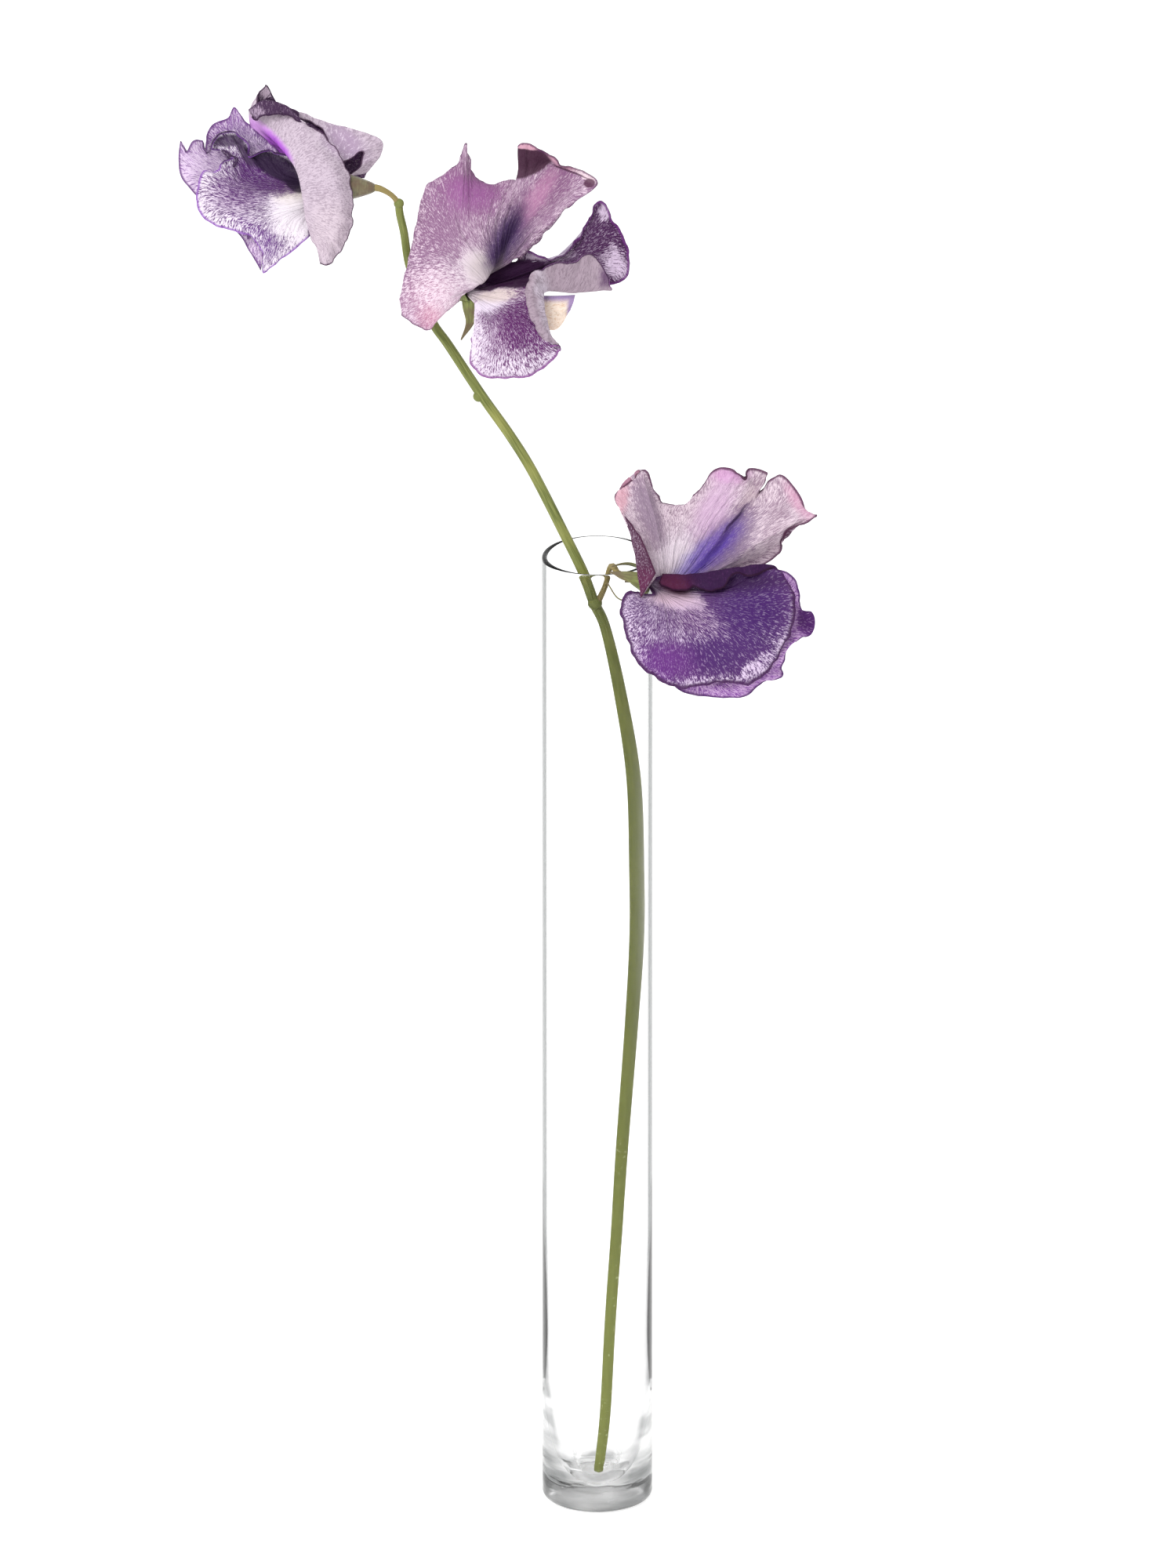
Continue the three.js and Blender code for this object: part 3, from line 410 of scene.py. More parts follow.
def blade_parts(grid, normals, thickness):
    """Vertices and faces of a closed blade: a front, a back and a rim round the edge."""
    rows, columns = grid.shape[:2]
    half = 0.5 * thickness[..., None] * normals
    vertices = np.concatenate([(grid + half).reshape(-1, 3), (grid - half).reshape(-1, 3)])
    number = np.arange(rows * columns).reshape(rows, columns)
    quads = np.stack([number[:-1, :-1], number[:-1, 1:], number[1:, 1:], number[1:, :-1]], axis=-1)
    front = quads.reshape(-1, 4)
    back = front[:, ::-1] + rows * columns
    edge = np.concatenate([number[0, :-1], number[:-1, -1], number[-1, :0:-1], number[:0:-1, 0]])
    after = np.roll(edge, -1)
    rim = np.stack([after, edge, edge + rows * columns, after + rows * columns], axis=-1)
    return vertices, np.concatenate([front, back, rim])


def solid_mesh(name, parts, material, attributes):
    """One smooth mesh of several closed bodies, with attributes for its material."""
    points, faces, count = [], [], 0
    for vertices, quads in parts:
        points.append(vertices)
        faces += (quads + count).tolist()
        count += len(vertices)
    mesh = bpy.data.meshes.new(name)
    mesh.from_pydata(np.concatenate(points).tolist(), [], faces)
    for label, values in attributes.items():
        kind, key = ("FLOAT_VECTOR", "vector") if values.ndim == 2 else ("FLOAT", "value")
        mesh.attributes.new(label, kind, "POINT").data.foreach_set(key, values.ravel())
    mesh.materials.append(material)
    mesh.shade_smooth()
    return placed(name, mesh)


def sepal(path, side, half_width):
    """A sepal along a path from its root to its tip, as a flat grid of points."""
    across = unit(np.array(side, float))
    rows = [[np.array(spot) + across * half_width * taper * turn for turn in (-1, 0, 1)]
            for spot, taper in zip(path, SEPAL_TAPER)]
    return petal_grid(rows, SEPAL_ACROSS, SEPAL_ALONG)


def cup(base, mouth):
    """The cup of a calyx as a closed turned shell between two points of its axis."""
    base, mouth = np.array(base, float), np.array(mouth, float)
    length = np.linalg.norm(mouth - base)
    axis = (mouth - base) / length
    side = unit(np.cross(axis, [0, 0, 1]))
    other = np.cross(axis, side)
    outer = through(CUP_OUTLINE, np.linspace(0, 1, CUP_RINGS))
    inner = np.maximum(outer[::-1] - [CUP_WALL, 0], [CUP_OUTLINE[0][0], CUP_FLOOR])
    rings = np.concatenate([outer, inner])
    turn = np.linspace(0, 2 * math.pi, CUP_SIDES, endpoint=False)
    radius = rings[:, None, 0] * (1 + CUP_RIB_HEIGHT * np.cos(CUP_RIBS * turn))[None]
    points = (base + axis * rings[:, None, 1:] * length
              + radius[..., None] * (np.cos(turn)[None, :, None] * side
                                     + np.sin(turn)[None, :, None] * other))
    number = np.arange(len(rings) * CUP_SIDES).reshape(len(rings), CUP_SIDES)
    ahead = np.roll(number, -1, axis=1)
    quads = np.stack([number[:-1], number[1:], ahead[1:], ahead[:-1]], axis=-1).reshape(-1, 4)
    caps = np.array([[number[0, k], number[0, k + 1], number[0, -k - 2], number[0, -k - 1]]
                     for k in range(CUP_SIDES // 2 - 1)])
    ends = np.concatenate([caps, caps[:, ::-1] + number[-1, 0]])
    return points.reshape(-1, 3), np.concatenate([quads, ends])


def flared_sepals(x, y, z, half_width):
    """Five like sepals that spread backwards from the mouth of a cup whose axis runs along x."""
    flare = [(0.2, 2.95), (-0.7, 3.9), (-1.4, 4.6), (-2, 5.2)]
    sepals = []
    for turn in np.radians([40, 95, 150, 205, 270]):
        path = [(x + dx, y + r * math.sin(turn), z + r * math.cos(turn)) for dx, r in flare]
        sepals.append((path, (0, math.cos(turn), -math.sin(turn)), half_width))
    return sepals


# The two ends of each cup's axis, then the sepals: path from root to tip, side and half width
CALYX_SHAPES = {
    "lower": ((-7.3, 0.5, -0.8), (-2.3, -0.5, 0), [
        ([(-2.8, 2.4, -0.6), (-6.4, 3.9, -0.8), (-9, 4.2, -1), (-12, 3.6, -1)], (0, 0.3, 1), 1.4),
        ([(-2.9, 0, 2.8), (-5.8, 0.4, 2.7), (-8.8, 1.2, 2.6), (-12.4, 2, 2.2)], (0, 1, 0), 1.7),
        ([(-2.9, -3, 1.1), (-6.4, -5, 0.8), (-10.2, -4.6, 0.6), (-13, -0.6, 0.4)], (0, 0, 1), 0.9),
        ([(-2.8, 0.7, -2.85), (-5.4, 0.6, -4), (-7, 0.2, -4.6), (-8.6, -0.4, -5)],
         (0, 1, 0.2), 1.3),
        ([(-3.3, -2.6, -2), (-5, -4, -2.4), (-7, -5, -2.8), (-9, -5.6, -3)], (0, -0.5, 1), 1.1),
    ]),
    "middle": ((-7.6, -1.5, -2.4), (-2.3, -0.5, 0), [
        ([(-2.5, -3.1, 0.8), (-2.1, -5.4, 1.1), (-2, -9, 1.4), (-4.2, -13.2, 2)],
         (1, -0.1, -0.1), 1.7),
        ([(-3.5, -1, 2.3), (-5.2, -1.4, 1.4), (-7, -2.2, 0.4), (-9, -3.6, -0.6)], (0.2, 1, 0), 1.2),
        ([(-3.1, 2.1, 1.4), (-4.6, 3.4, 0.8), (-6.6, 4.8, 0), (-8.6, 6, -1.2)],
         (-0.25, -0.53, 0.77), 1.2),
        ([(-2.4, 0.3, -2.75), (-2.6, 1.2, -4.2), (-2.8, 2.6, -5.4), (-3.8, 3.8, -6.6)],
         (1, 0.2, 0.3), 0.9),
        ([(-1.6, -2.2, -2.25), (-1.4, -3.4, -4.2), (-2, -4.8, -5.6), (-2.8, -6, -6.6)],
         (1, 0.3, 0), 0.9),
    ]),
    "top": ((7.9, -0.6, -0.2), (1, -0.4, 0), flared_sepals(1, -0.4, 0, 1.1)),
}
# Dark green and pale green of each cup, and how far the brown purple spreads from the tips
CALYX_TINTS = {"lower": ("#66703A", "#8F9A54", 0.45), "middle": ("#66703A", "#8F9A54", 0.45),
               "top": ("#5E6146", "#868660", 0.75)}
CALYX_VEIN = (0.5, 4, 1)
CALYX_PATCH = 3 * MM


def calyx_skin(name):
    """Downy young leaf: dull yellow green with fine lengthwise ribs about 0.5 mm apart, flushed
    brown purple towards the sepal tips and in patches. The down shows as a soft sheen."""
    dark, light, spread = CALYX_TINTS[name]
    material, tree = new_material("downy_calyx_" + name)
    tip = add(tree, "ShaderNodeAttribute", attribute_name="tip").outputs["Fac"]
    veins = add(tree, "ShaderNodeAttribute", attribute_name="veins").outputs["Vector"]
    place = add(tree, "ShaderNodeTexCoord").outputs["Object"]
    stretched = add(tree, "ShaderNodeMapping", Vector=veins, Scale=[1 / s for s in CALYX_VEIN])
    ribs, patches = (add(tree, "ShaderNodeTexNoise", Scale=scale, Detail=3, Vector=source)
                     for source, scale in ((stretched, 1), (place, 1 / CALYX_PATCH)))
    flush = add(tree, "ShaderNodeMath", operation="MULTIPLY_ADD", _0=tip, _1=0.55, _2=patches)
    streak, flushed = (
        add(tree, "ShaderNodeMapRange", Value=source, From_Min=start, From_Max=end, To_Max=most)
        for source, start, end, most in ((ribs, 0.35, 0.65, 1),
                                         (flush, 0.95 - spread, 1.4 - spread, 0.8)))
    green = add(tree, "ShaderNodeMix", data_type="RGBA", _0=streak, _6=dark, _7=light)
    colour = add(tree, "ShaderNodeMix", data_type="RGBA", _0=flushed, _6=green, _7="#5E4638")
    bump = add(tree, "ShaderNodeBump", Strength=0.5, Distance=0.12 * MM, Height=ribs)
    skin = add(tree, "ShaderNodeBsdfPrincipled", Roughness=0.55, IOR=1.42, Sheen_Weight=0.25,
               Sheen_Roughness=0.5, Base_Color=colour, Normal=bump)
    add(tree, "ShaderNodeOutputMaterial", Surface=skin)
    return material


def make_calyx(name):
    base, mouth, sepals = CALYX_SHAPES[name]
    parts = [cup(base, mouth)]
    tips = [np.zeros(len(parts[0][0]))]
    spread = [parts[0][0]]
    for path, side, half_width in sepals:
        grid = sepal(path, side, half_width)
        rows, columns = grid.shape[:2]
        bow = SEPAL_BOW * np.sin(np.linspace(0, math.pi, columns))
        bowed = grid + fronts(grid, 1) * bow[None, :, None]
        thinned = 1 - SEPAL_EDGE_THINNING * np.abs(np.linspace(-1, 1, columns)) ** 4
        thickness = SEPAL_THICKNESS * thinned * np.ones((rows, columns))
        parts.append(blade_parts(bowed, fronts(bowed, 2), thickness))
        along = np.repeat(np.linspace(0, 1, rows), columns)
        across = np.tile(np.linspace(-1, 1, columns) * half_width, rows)
        tips.append(np.tile(along, 2))
        spread.append(np.tile(np.stack([across, along * SEPAL_LENGTH, 0 * along], axis=1), (2, 1)))
    calyx = solid_mesh(
        "green_calyx_" + name, [(in_frame(points, PLACES[name]), faces) for points, faces in parts],
        calyx_skin(name), {"tip": np.concatenate(tips), "veins": np.concatenate(spread)})
    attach(calyx, "root")
    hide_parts("calyx_" + name)


for flower in PLACES:
    make_calyx(flower)


# Petals of the lower flower: one broad standard at the back, two wings in front and a small keel
# between them. A sweet pea petal is a satin sheet about 0.3 mm thick, thicker at its claw, that
# grows out of the cup and ruffles as its margin outgrows its middle.
PETAL_THICKNESS, CLAW_THICKNESS, CLAW_LENGTH = 0.3, 0.55, 6
ROLL_ROWS = 10
LEAST_HEM = 0.15
# Points across and along each kind, and the height and length of its frills
FINENESS = {"standard": (216, 72), "wing": (184, 64), "keel": (72, 40)}
FRILLS = {"standard": (0.26, 6.5), "wing": (0.22, 5.5), "keel": (0.04, 4.0)}
# Shares of that height and length in the waves that make up a frill, and where it fades in
FRILL_WAVES = ((1, 1), (0.7, 0.61), (0.22, 0.27), (0.1, 0.16))
FRILL_START, FRILL_EASE = 0.45, 2.2
SIDE_INSET = 0.4
# Width and length of the dark rays, the fine rays and the pale specks, in millimetres
RAY_SIZES = ((0.45, 1.6), (0.25, 0.6), (0.4, 1.0))
FINE_SHARE = 0.4
# Levels of the rays between which a fleck and a speck come in, and how much the clouds shift them
FLECK_LEVELS, SPECK_LEVELS = (0.62, 0.75), (0.54, 0.64)
CLOUD_SHARE, DEPTH_SHARE = 0.5, 0.4
EDGE_RAGGED = 0.9
# How far the marks, the sharp marks with their painted shade and the rays stray, and the size of a
# crease and a rib
STRAY_MARKS, STRAY_SHADES, STRAY_RAYS = 2.6, 0.8, 1.4
CREASE_SIZE, RIB_SIZE = (5, 30, 1), (0.6, 14, 1)
# Waves in a millimetre of the noise that moves the marks and of the clouds
WOBBLE_SCALE, CLOUD_SCALE = 0.4, 0.3
# A mark goes through a petal from front to back. The pattern starts at one of many places.
MARK_DEPTH, PATTERN_STARTS = 1000, 17
SEEN_THROUGH = 0.22


def window(u, start, end, soft=0.03):
    """1 between two shares of the margin and 0 outside, with soft ends."""
    rise = np.clip((u - start) / soft + 0.5, 0, 1)
    fall = np.clip((end - u) / soft + 0.5, 0, 1)
    return rise * rise * (3 - 2 * rise) * fall * fall * (3 - 2 * fall)


def runs(grid, axis):
    """The length walked along a grid's lines to each of its points."""
    steps = np.linalg.norm(np.diff(grid, axis=axis), axis=2)
    return np.insert(np.cumsum(steps, axis=axis), 0, 0, axis=axis)


def ruffled(grid, height, length, seed):
    """Adds fine waves of a height and length that fade out from the margin to mid petal."""
    run = runs(grid[-1:], 1)[0]
    phases = np.random.default_rng(seed).uniform(0, 2 * math.pi, len(FRILL_WAVES))
    waves = sum(high * np.sin(2 * math.pi * run / (length * long) + phase)
                for (high, long), phase in zip(FRILL_WAVES, phases))
    v = np.linspace(0, 1, len(grid))
    fade = np.clip((v - FRILL_START) / (1 - FRILL_START), 0, 1) ** FRILL_EASE
    return grid + fronts(grid, 3) * height * waves[None, :, None] * fade[:, None, None]


def rolled(grid, rolls):
    """Adds a hem beyond the margin. A roll is its start and end along the margin, its radius and
    length in millimetres, and 1 to curl to the front or -1 to curl to the back."""
    u = np.linspace(0, 1, grid.shape[1])
    outward = unit(grid[-1] - grid[-3])
    normal = fronts(grid, 3)[-1]
    radius, reach, side = np.ones_like(u), np.full_like(u, LEAST_HEM), np.zeros_like(u)
    for start, end, r, length, way in rolls:
        share = window(u, start, end)
        radius += share * (r - radius)
        reach += share * (length - reach)
        side += share * (way - side)
    hem = []
    for k in range(1, ROLL_ROWS + 1):
        angle = (k / ROLL_ROWS * reach / radius)[:, None]
        hem.append(grid[-1] + radius[:, None] * (outward * np.sin(angle)
                                                 + side[:, None] * normal * (1 - np.cos(angle))))
    return np.concatenate([grid, np.stack(hem)])


def petal_parts(rows, kind, rolls, seed):
    """A petal as one closed blade, with the attributes that its material reads."""
    across, along = FINENESS[kind]
    grid = rolled(ruffled(petal_grid(rows, across, along), *FRILLS[kind], seed), rolls)
    down, over = runs(grid, 0), runs(grid, 1)
    to_side = np.minimum(over, over[:, -1:] - over) + SIDE_INSET
    u = np.linspace(0, 1, across + 1)[None] * np.ones(grid.shape[:2])
    claw = np.clip(1 - down / CLAW_LENGTH, 0, 1)
    thickness = PETAL_THICKNESS + (CLAW_THICKNESS - PETAL_THICKNESS) * claw
    points, faces = blade_parts(grid, fronts(grid, 3), thickness)
    veins = np.stack([u * over.max(), down / down[-1] * down[-1].mean(), 0 * u], axis=-1)
    return points, faces, {
        "spot": np.tile(grid.reshape(-1, 3), (2, 1)),
        "veins": np.tile(veins.reshape(-1, 3), (2, 1)),
        "edge": np.tile(np.minimum(down[-1] - down, to_side).ravel(), 2),
        "front": np.repeat([1.0, 0.0], u.size),
    }


def blot(tree, spot, x, y, long, wide, turn, soft=1.3):
    """1 inside an oval seen from the flower's front, fading to 0 at its edge. Its centre, half
    length and half width are in millimetres, and it turns by degrees from the x axis."""
    oval = add(tree, "ShaderNodeMapping", vector_type="TEXTURE", Vector=spot, Location=(x, y, 0),
               Rotation=(0, 0, math.radians(turn)), Scale=(long, wide, MARK_DEPTH))
    away = add(tree, "ShaderNodeVectorMath", operation="LENGTH", _0=oval)
    return add(tree, "ShaderNodeMapRange", interpolation_type="SMOOTHSTEP", Value=away,
               From_Min=1 + soft / 2, From_Max=1 - soft / 2)


def mixed(tree, share, first, second, strength=1):
    """A colour between two, by a share times a strength."""
    if strength < 1:
        share = add(tree, "ShaderNodeMath", operation="MULTIPLY", _0=share, _1=strength)
    return add(tree, "ShaderNodeMix", data_type="RGBA", _0=share, _6=first, _7=second)


def side_colour(tree, seen, look):
    """The colour of one side of a petal: its ground, in places grey with painted shade of soft
    folds, its flecks, its flushes with the pale specks left in them, its sharp marks, among them
    painted shade in mouths, creases and under rolled margins, and its margin."""
    def dyed(colour, marks, spot="spot"):
        for *oval, tint, strength in look.get(marks, []):
            colour = mixed(tree, blot(tree, seen[spot], *oval), colour, tint, strength)
        return colour

    depth = add(tree, "ShaderNodeMath", operation="MULTIPLY_ADD", _0=seen["cloud"], _1=CLOUD_SHARE,
                _2=look["depth"] - CLOUD_SHARE / 2)
    for *oval, amount in look.get("flecked", []):
        share = blot(tree, seen["spot"], *oval)
        change = add(tree, "ShaderNodeMath", operation="SUBTRACT", _0=amount, _1=depth)
        depth = add(tree, "ShaderNodeMath", operation="MULTIPLY_ADD", _0=share, _1=change, _2=depth)
    if "halo" in look:
        start, end, amount = look["halo"]
        halo = add(tree, "ShaderNodeMapRange", interpolation_type="SMOOTHSTEP", Value=seen["edge"],
                   From_Min=end, From_Max=start, To_Max=amount)
        depth = add(tree, "ShaderNodeMath", operation="SUBTRACT", _0=depth, _1=halo)
    level = add(tree, "ShaderNodeMath", operation="MULTIPLY_ADD", _0=depth, _1=DEPTH_SHARE,
                _2=seen["flecks"])
    fleck = add(tree, "ShaderNodeMapRange", interpolation_type="SMOOTHSTEP", Value=level,
                From_Min=FLECK_LEVELS[0], From_Max=FLECK_LEVELS[1])
    ground = dyed(look["ground"], "grounds")
    ink = dyed(look["fleck"], "inks")
    flecked = mixed(tree, fleck, ground, ink, look.get("contrast", 1))
    flushed = dyed(flecked, "flushes")
    speckled = mixed(tree, seen["specks"], flushed, ground, look.get("specks", 0.4))
    width, tint, strength = look["margin"]
    rim = add(tree, "ShaderNodeMapRange", interpolation_type="SMOOTHSTEP", Value=seen["edge"],
              From_Min=width * 1.5, From_Max=width * 0.5)
    return mixed(tree, rim, dyed(speckled, "sharp_marks_and_painted_shade", "crisp"), tint, strength)


def petal_skin(name, front, back, shift):
    """Satin petal: colourless cells that pass light, flecked in fine rays by cells with purple
    sap. The rays follow the veins, 0.25 to 0.45 mm wide and so about as coarse as the real ones.
    Ribs 0.6 mm and creases 5 mm apart give the satin its soft, broad highlights."""
    material, tree = new_material("satin_petal_" + name)
    spot, veins, edge, is_front = (
        add(tree, "ShaderNodeAttribute", attribute_name=label).outputs[output]
        for label, output in (("spot", "Vector"), ("veins", "Vector"), ("edge", "Fac"),
                              ("front", "Fac")))
    wobble, cloud = (add(tree, "ShaderNodeTexNoise", Scale=scale, Detail=4, Roughness=0.6,
                         Vector=spot).outputs for scale in (WOBBLE_SCALE, CLOUD_SCALE))
    centred = add(tree, "ShaderNodeVectorMath", operation="SUBTRACT", _0=wobble["Color"],
                  _1=(0.5, 0.5, 0.5))
    moved = []
    for start, reach in ((spot, STRAY_MARKS), (spot, STRAY_SHADES), (veins, STRAY_RAYS)):
        nudge = add(tree, "ShaderNodeVectorMath", operation="SCALE", _0=centred, Scale=reach)
        moved.append(add(tree, "ShaderNodeVectorMath", operation="ADD", _0=start, _1=nudge))
    rays = []
    for wide, long in RAY_SIZES:
        place = add(tree, "ShaderNodeMapping", Location=(shift + long, shift, shift),
                    Scale=(1 / wide, 1 / long, 1), Vector=moved[2])
        rays.append(add(tree, "ShaderNodeTexNoise", Scale=1, Detail=3, Roughness=0.65,
                        Vector=place))
    specks = add(tree, "ShaderNodeMapRange", interpolation_type="SMOOTHSTEP", Value=rays[2],
                 From_Min=SPECK_LEVELS[0], From_Max=SPECK_LEVELS[1])
    fine = add(tree, "ShaderNodeMath", operation="MULTIPLY", _0=rays[1], _1=FINE_SHARE)
    flecks = add(tree, "ShaderNodeMath", operation="MULTIPLY_ADD", _0=rays[0], _1=1 - FINE_SHARE,
                 _2=fine)
    ragged = add(tree, "ShaderNodeMath", operation="MULTIPLY_ADD", _0=rays[1], _1=EDGE_RAGGED,
                 _2=edge)
    rough_edge = add(tree, "ShaderNodeMath", operation="SUBTRACT", _0=ragged, _1=EDGE_RAGGED / 2)
    seen = {"spot": moved[0], "crisp": moved[1], "flecks": flecks, "cloud": cloud["Fac"],
            "specks": specks, "edge": rough_edge}
    colour = mixed(tree, is_front, side_colour(tree, seen, back), side_colour(tree, seen, front))
    # What each of the two bumps follows, its size, detail, strength and depth
    bump = None
    for source, size, detail, strength, depth in ((moved[2], CREASE_SIZE, 2, 0.8, 1.6),
                                                  (veins, RIB_SIZE, 3, 0.5, 0.12)):
        lines = add(tree, "ShaderNodeMapping", Scale=[1 / s for s in size], Vector=source)
        waves = add(tree, "ShaderNodeTexNoise", Scale=1, Detail=detail, Vector=lines)
        under = {"Normal": bump} if bump else {}
        bump = add(tree, "ShaderNodeBump", Strength=strength, Distance=depth * MM, Height=waves,
                   **under)
    satin = add(tree, "ShaderNodeBsdfPrincipled", Roughness=0.6, IOR=1.4, Specular_IOR_Level=0.2,
                Base_Color=colour, Normal=bump)
    glow = add(tree, "ShaderNodeBsdfTranslucent", Color=colour)
    both = add(tree, "ShaderNodeMixShader", _0=SEEN_THROUGH, _1=satin, _2=glow)
    add(tree, "ShaderNodeOutputMaterial", Surface=both)
    return material


def make_petal(flower, name, rows, front, back, rolls=()):
    kind = name.split("_")[0]
    node = name + "_" + flower
    seed = sum(map(ord, node))
    points, faces, attributes = petal_parts(rows, kind, rolls, seed)
    skin = petal_skin(node, front, back, seed % PATTERN_STARTS)
    part = (in_frame(points, PLACES[flower]), faces)
    petal = solid_mesh("petal_" + node, [part], skin, attributes)
    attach(petal, "root")
    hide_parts(node)


# Nets of the lower flower's petals, as rows of points from the claw to the margin. Each row runs
# clockwise seen from the petal's front.
LOWER_STANDARD = [
    [(-3, 0.4, 1.2), (-3, 0.9, 0.8), (-3, 1.1, 0), (-3, 0.9, -0.8), (-3, 0.4, -1.2)],
    [(-1, 0.6, 2.2), (0.8, 1.1, 0.3), (4, 0.8, -1.8), (7.6, 0.6, -2.8), (9.6, 0, -3.2)],
    [(-1.6, -0.6, 4.8), (-4, 10, 1), (-0.4, 12, 0.6), (3.6, 10, -1.4), (10.6, 15, -2.5),
     (17, 15, -2.5), (23, 12.4, 0), (20, 5.6, 1.4), (11.4, 0, -3.5)],
    [(-4.4, -4.4, 6.8), (-6.6, 9.6, 4.4), (-9.6, 21, 2), (-4.4, 26.2, 1.6), (0.6, 18.4, -2.4),
     (9.6, 19.6, -5), (17.4, 25.6, -2.6), (22.4, 24.6, -3), (24.2, 19, -2.4), (33, 19, 0.4),
     (36, 15.6, 1.4), (27.6, 7.4, -2.6), (11.8, 0, -3.7)],
    [(-0.8, 1.6, 6.6), (-3.6, 8.6, 6.2), (-6.4, 13.4, 4), (-10.2, 18.4, 2.2), (-10.8, 22, 1),
     (-8, 24.4, 2.2), (-3.6, 28, 1.4), (-1.2, 23, -1.5), (1.2, 19.8, -4), (6.8, 19.2, -6.4),
     (10.8, 23.6, -5), (14.4, 28.2, -3.5), (18.8, 28.2, -1), (21.6, 25.6, 1), (23.2, 28.4, -3),
     (27.6, 27, -0.5), (25.4, 22.4, -3.6), (30.8, 26.8, -1), (35.6, 22, 0.5), (37.6, 17.2, 0),
     (40, 16, 1.5), (32, 12, 1), (30.8, 7, -4), (23.6, 2.6, -3), (12, 0, -3.9)],
]
LOWER_WING_NEAR = [
    [(-2.6, 0.2, 1.4), (-2.6, -0.4, 1.4), (-2.6, -0.9, 1.4), (-2.6, -1.4, 1.4), (-2.6, -1.8, 1.4)],
    [(-0.3, 0.8, 2), (2.4, -2.6, 2.8), (2, -4, 3.6), (0.4, -4.4, 3.8), (-1.4, -3.4, 3.8)],
    [(1, 1.3, 2.1), (9.4, -2.4, 4.5), (18, -2.4, 7.6), (21.6, -6.8, 10), (17, -13, 11),
     (7.4, -15.4, 10.5), (0.6, -13, 9.5), (-3.6, -8, 8), (-2.8, -3.6, 4.2)],
    [(0.9, 1.5, 2.3), (8.2, 1.4, 5), (18.4, 2.8, 8), (27.6, 3.4, 7.6), (32.4, -3.2, 8),
     (31.4, -12.2, 8.5), (26.4, -20.6, 8.5), (16.2, -23.6, 8.5), (5.8, -24.6, 7.5), (-1, -21.6, 8),
     (-5.6, -15.2, 8.5), (-7.8, -6.8, 7.5), (-4.6, -3.2, 4.6)],
    [(0.7, 1, 3.2), (4.4, -0.8, 5), (8.6, 0, 6.6), (13.8, -0.8, 8.6), (19.6, 1.6, 9.4), (24, 1, 9),
     (28.8, 3, 8), (32, 0.4, 7), (34.2, -3.4, 7), (34.6, -7.6, 7), (33.6, -13, 6.5),
     (31.2, -17.4, 6.5), (28.2, -22.6, 6), (23, -26.4, 5.5), (17, -25.8, 6), (11.4, -26.6, 6),
     (5.8, -27.4, 5), (1.4, -26, 5.5), (-2, -23.8, 6), (-5.2, -21.2, 6), (-7.4, -16.4, 6.5),
     (-8.8, -11.6, 6.5), (-9.6, -7.2, 6), (-8.4, -3.6, 5), (-5.2, -2.8, 4.2)],
]
LOWER_WING_FAR = [
    [(-2.4, -0.7, -1.3), (-2.4, -1.1, -1.3), (-2.4, -1.5, -1.3)],
    [(1.4, -1.8, -2.2), (9, -2.2, -3), (17, -3.5, -2.5), (20, -8, -1.5), (19, -12, -1),
     (16, -15, -1), (11, -17, -1), (5, -15, -1.5), (0.6, -8, -1.8)],
    [(1.8, -1.4, -2.2), (17, -0.4, -1.5), (30, -0.6, 0.5), (33.4, -6.4, 1.6), (34.6, -12.4, 1.8),
     (28.4, -20.4, 2), (21.4, -25.4, 2), (10.6, -25, 1.6), (1, -17, 0)],
    [(2, -1.4, -2.2), (8, -1.6, -2.4), (18, 0.2, -1.8), (27, 2.4, -1), (32, 2.2, -0.5),
     (35.2, -1, 0), (36.2, -7.2, 0.5), (39.4, -9, 1.4), (38.8, -13.6, 1.6), (33.6, -16, 0.6),
     (31.4, -21.6, 0.2), (31.2, -24.6, 0.5), (26, -26.2, 0.6), (21.6, -29.6, 0.8), (12, -29.5, 0.8),
     (5.2, -27.8, 0), (1, -22, -0.6)],
]
LOWER_KEEL = [
    [(-2.4, -0.9, 0), (-2.4, -1.4, 0), (-2.4, -1.9, 0)],
    [(4, -2.6, 1.8), (4.4, -4.6, 1.7), (5, -6.4, 0.8), (4.4, -4.6, -0.1), (4, -2.6, 0)],
    [(12, -5.4, 3.8), (11.4, -8, 3.7), (10.8, -11, 2.6), (11.4, -8, 1.5), (12, -5.4, 1.6)],
    [(15.6, -9.6, 4.6), (15, -10.8, 4.5), (14.6, -12, 3.8), (15, -10.8, 3.1), (15.6, -9.6, 3.2)],
]
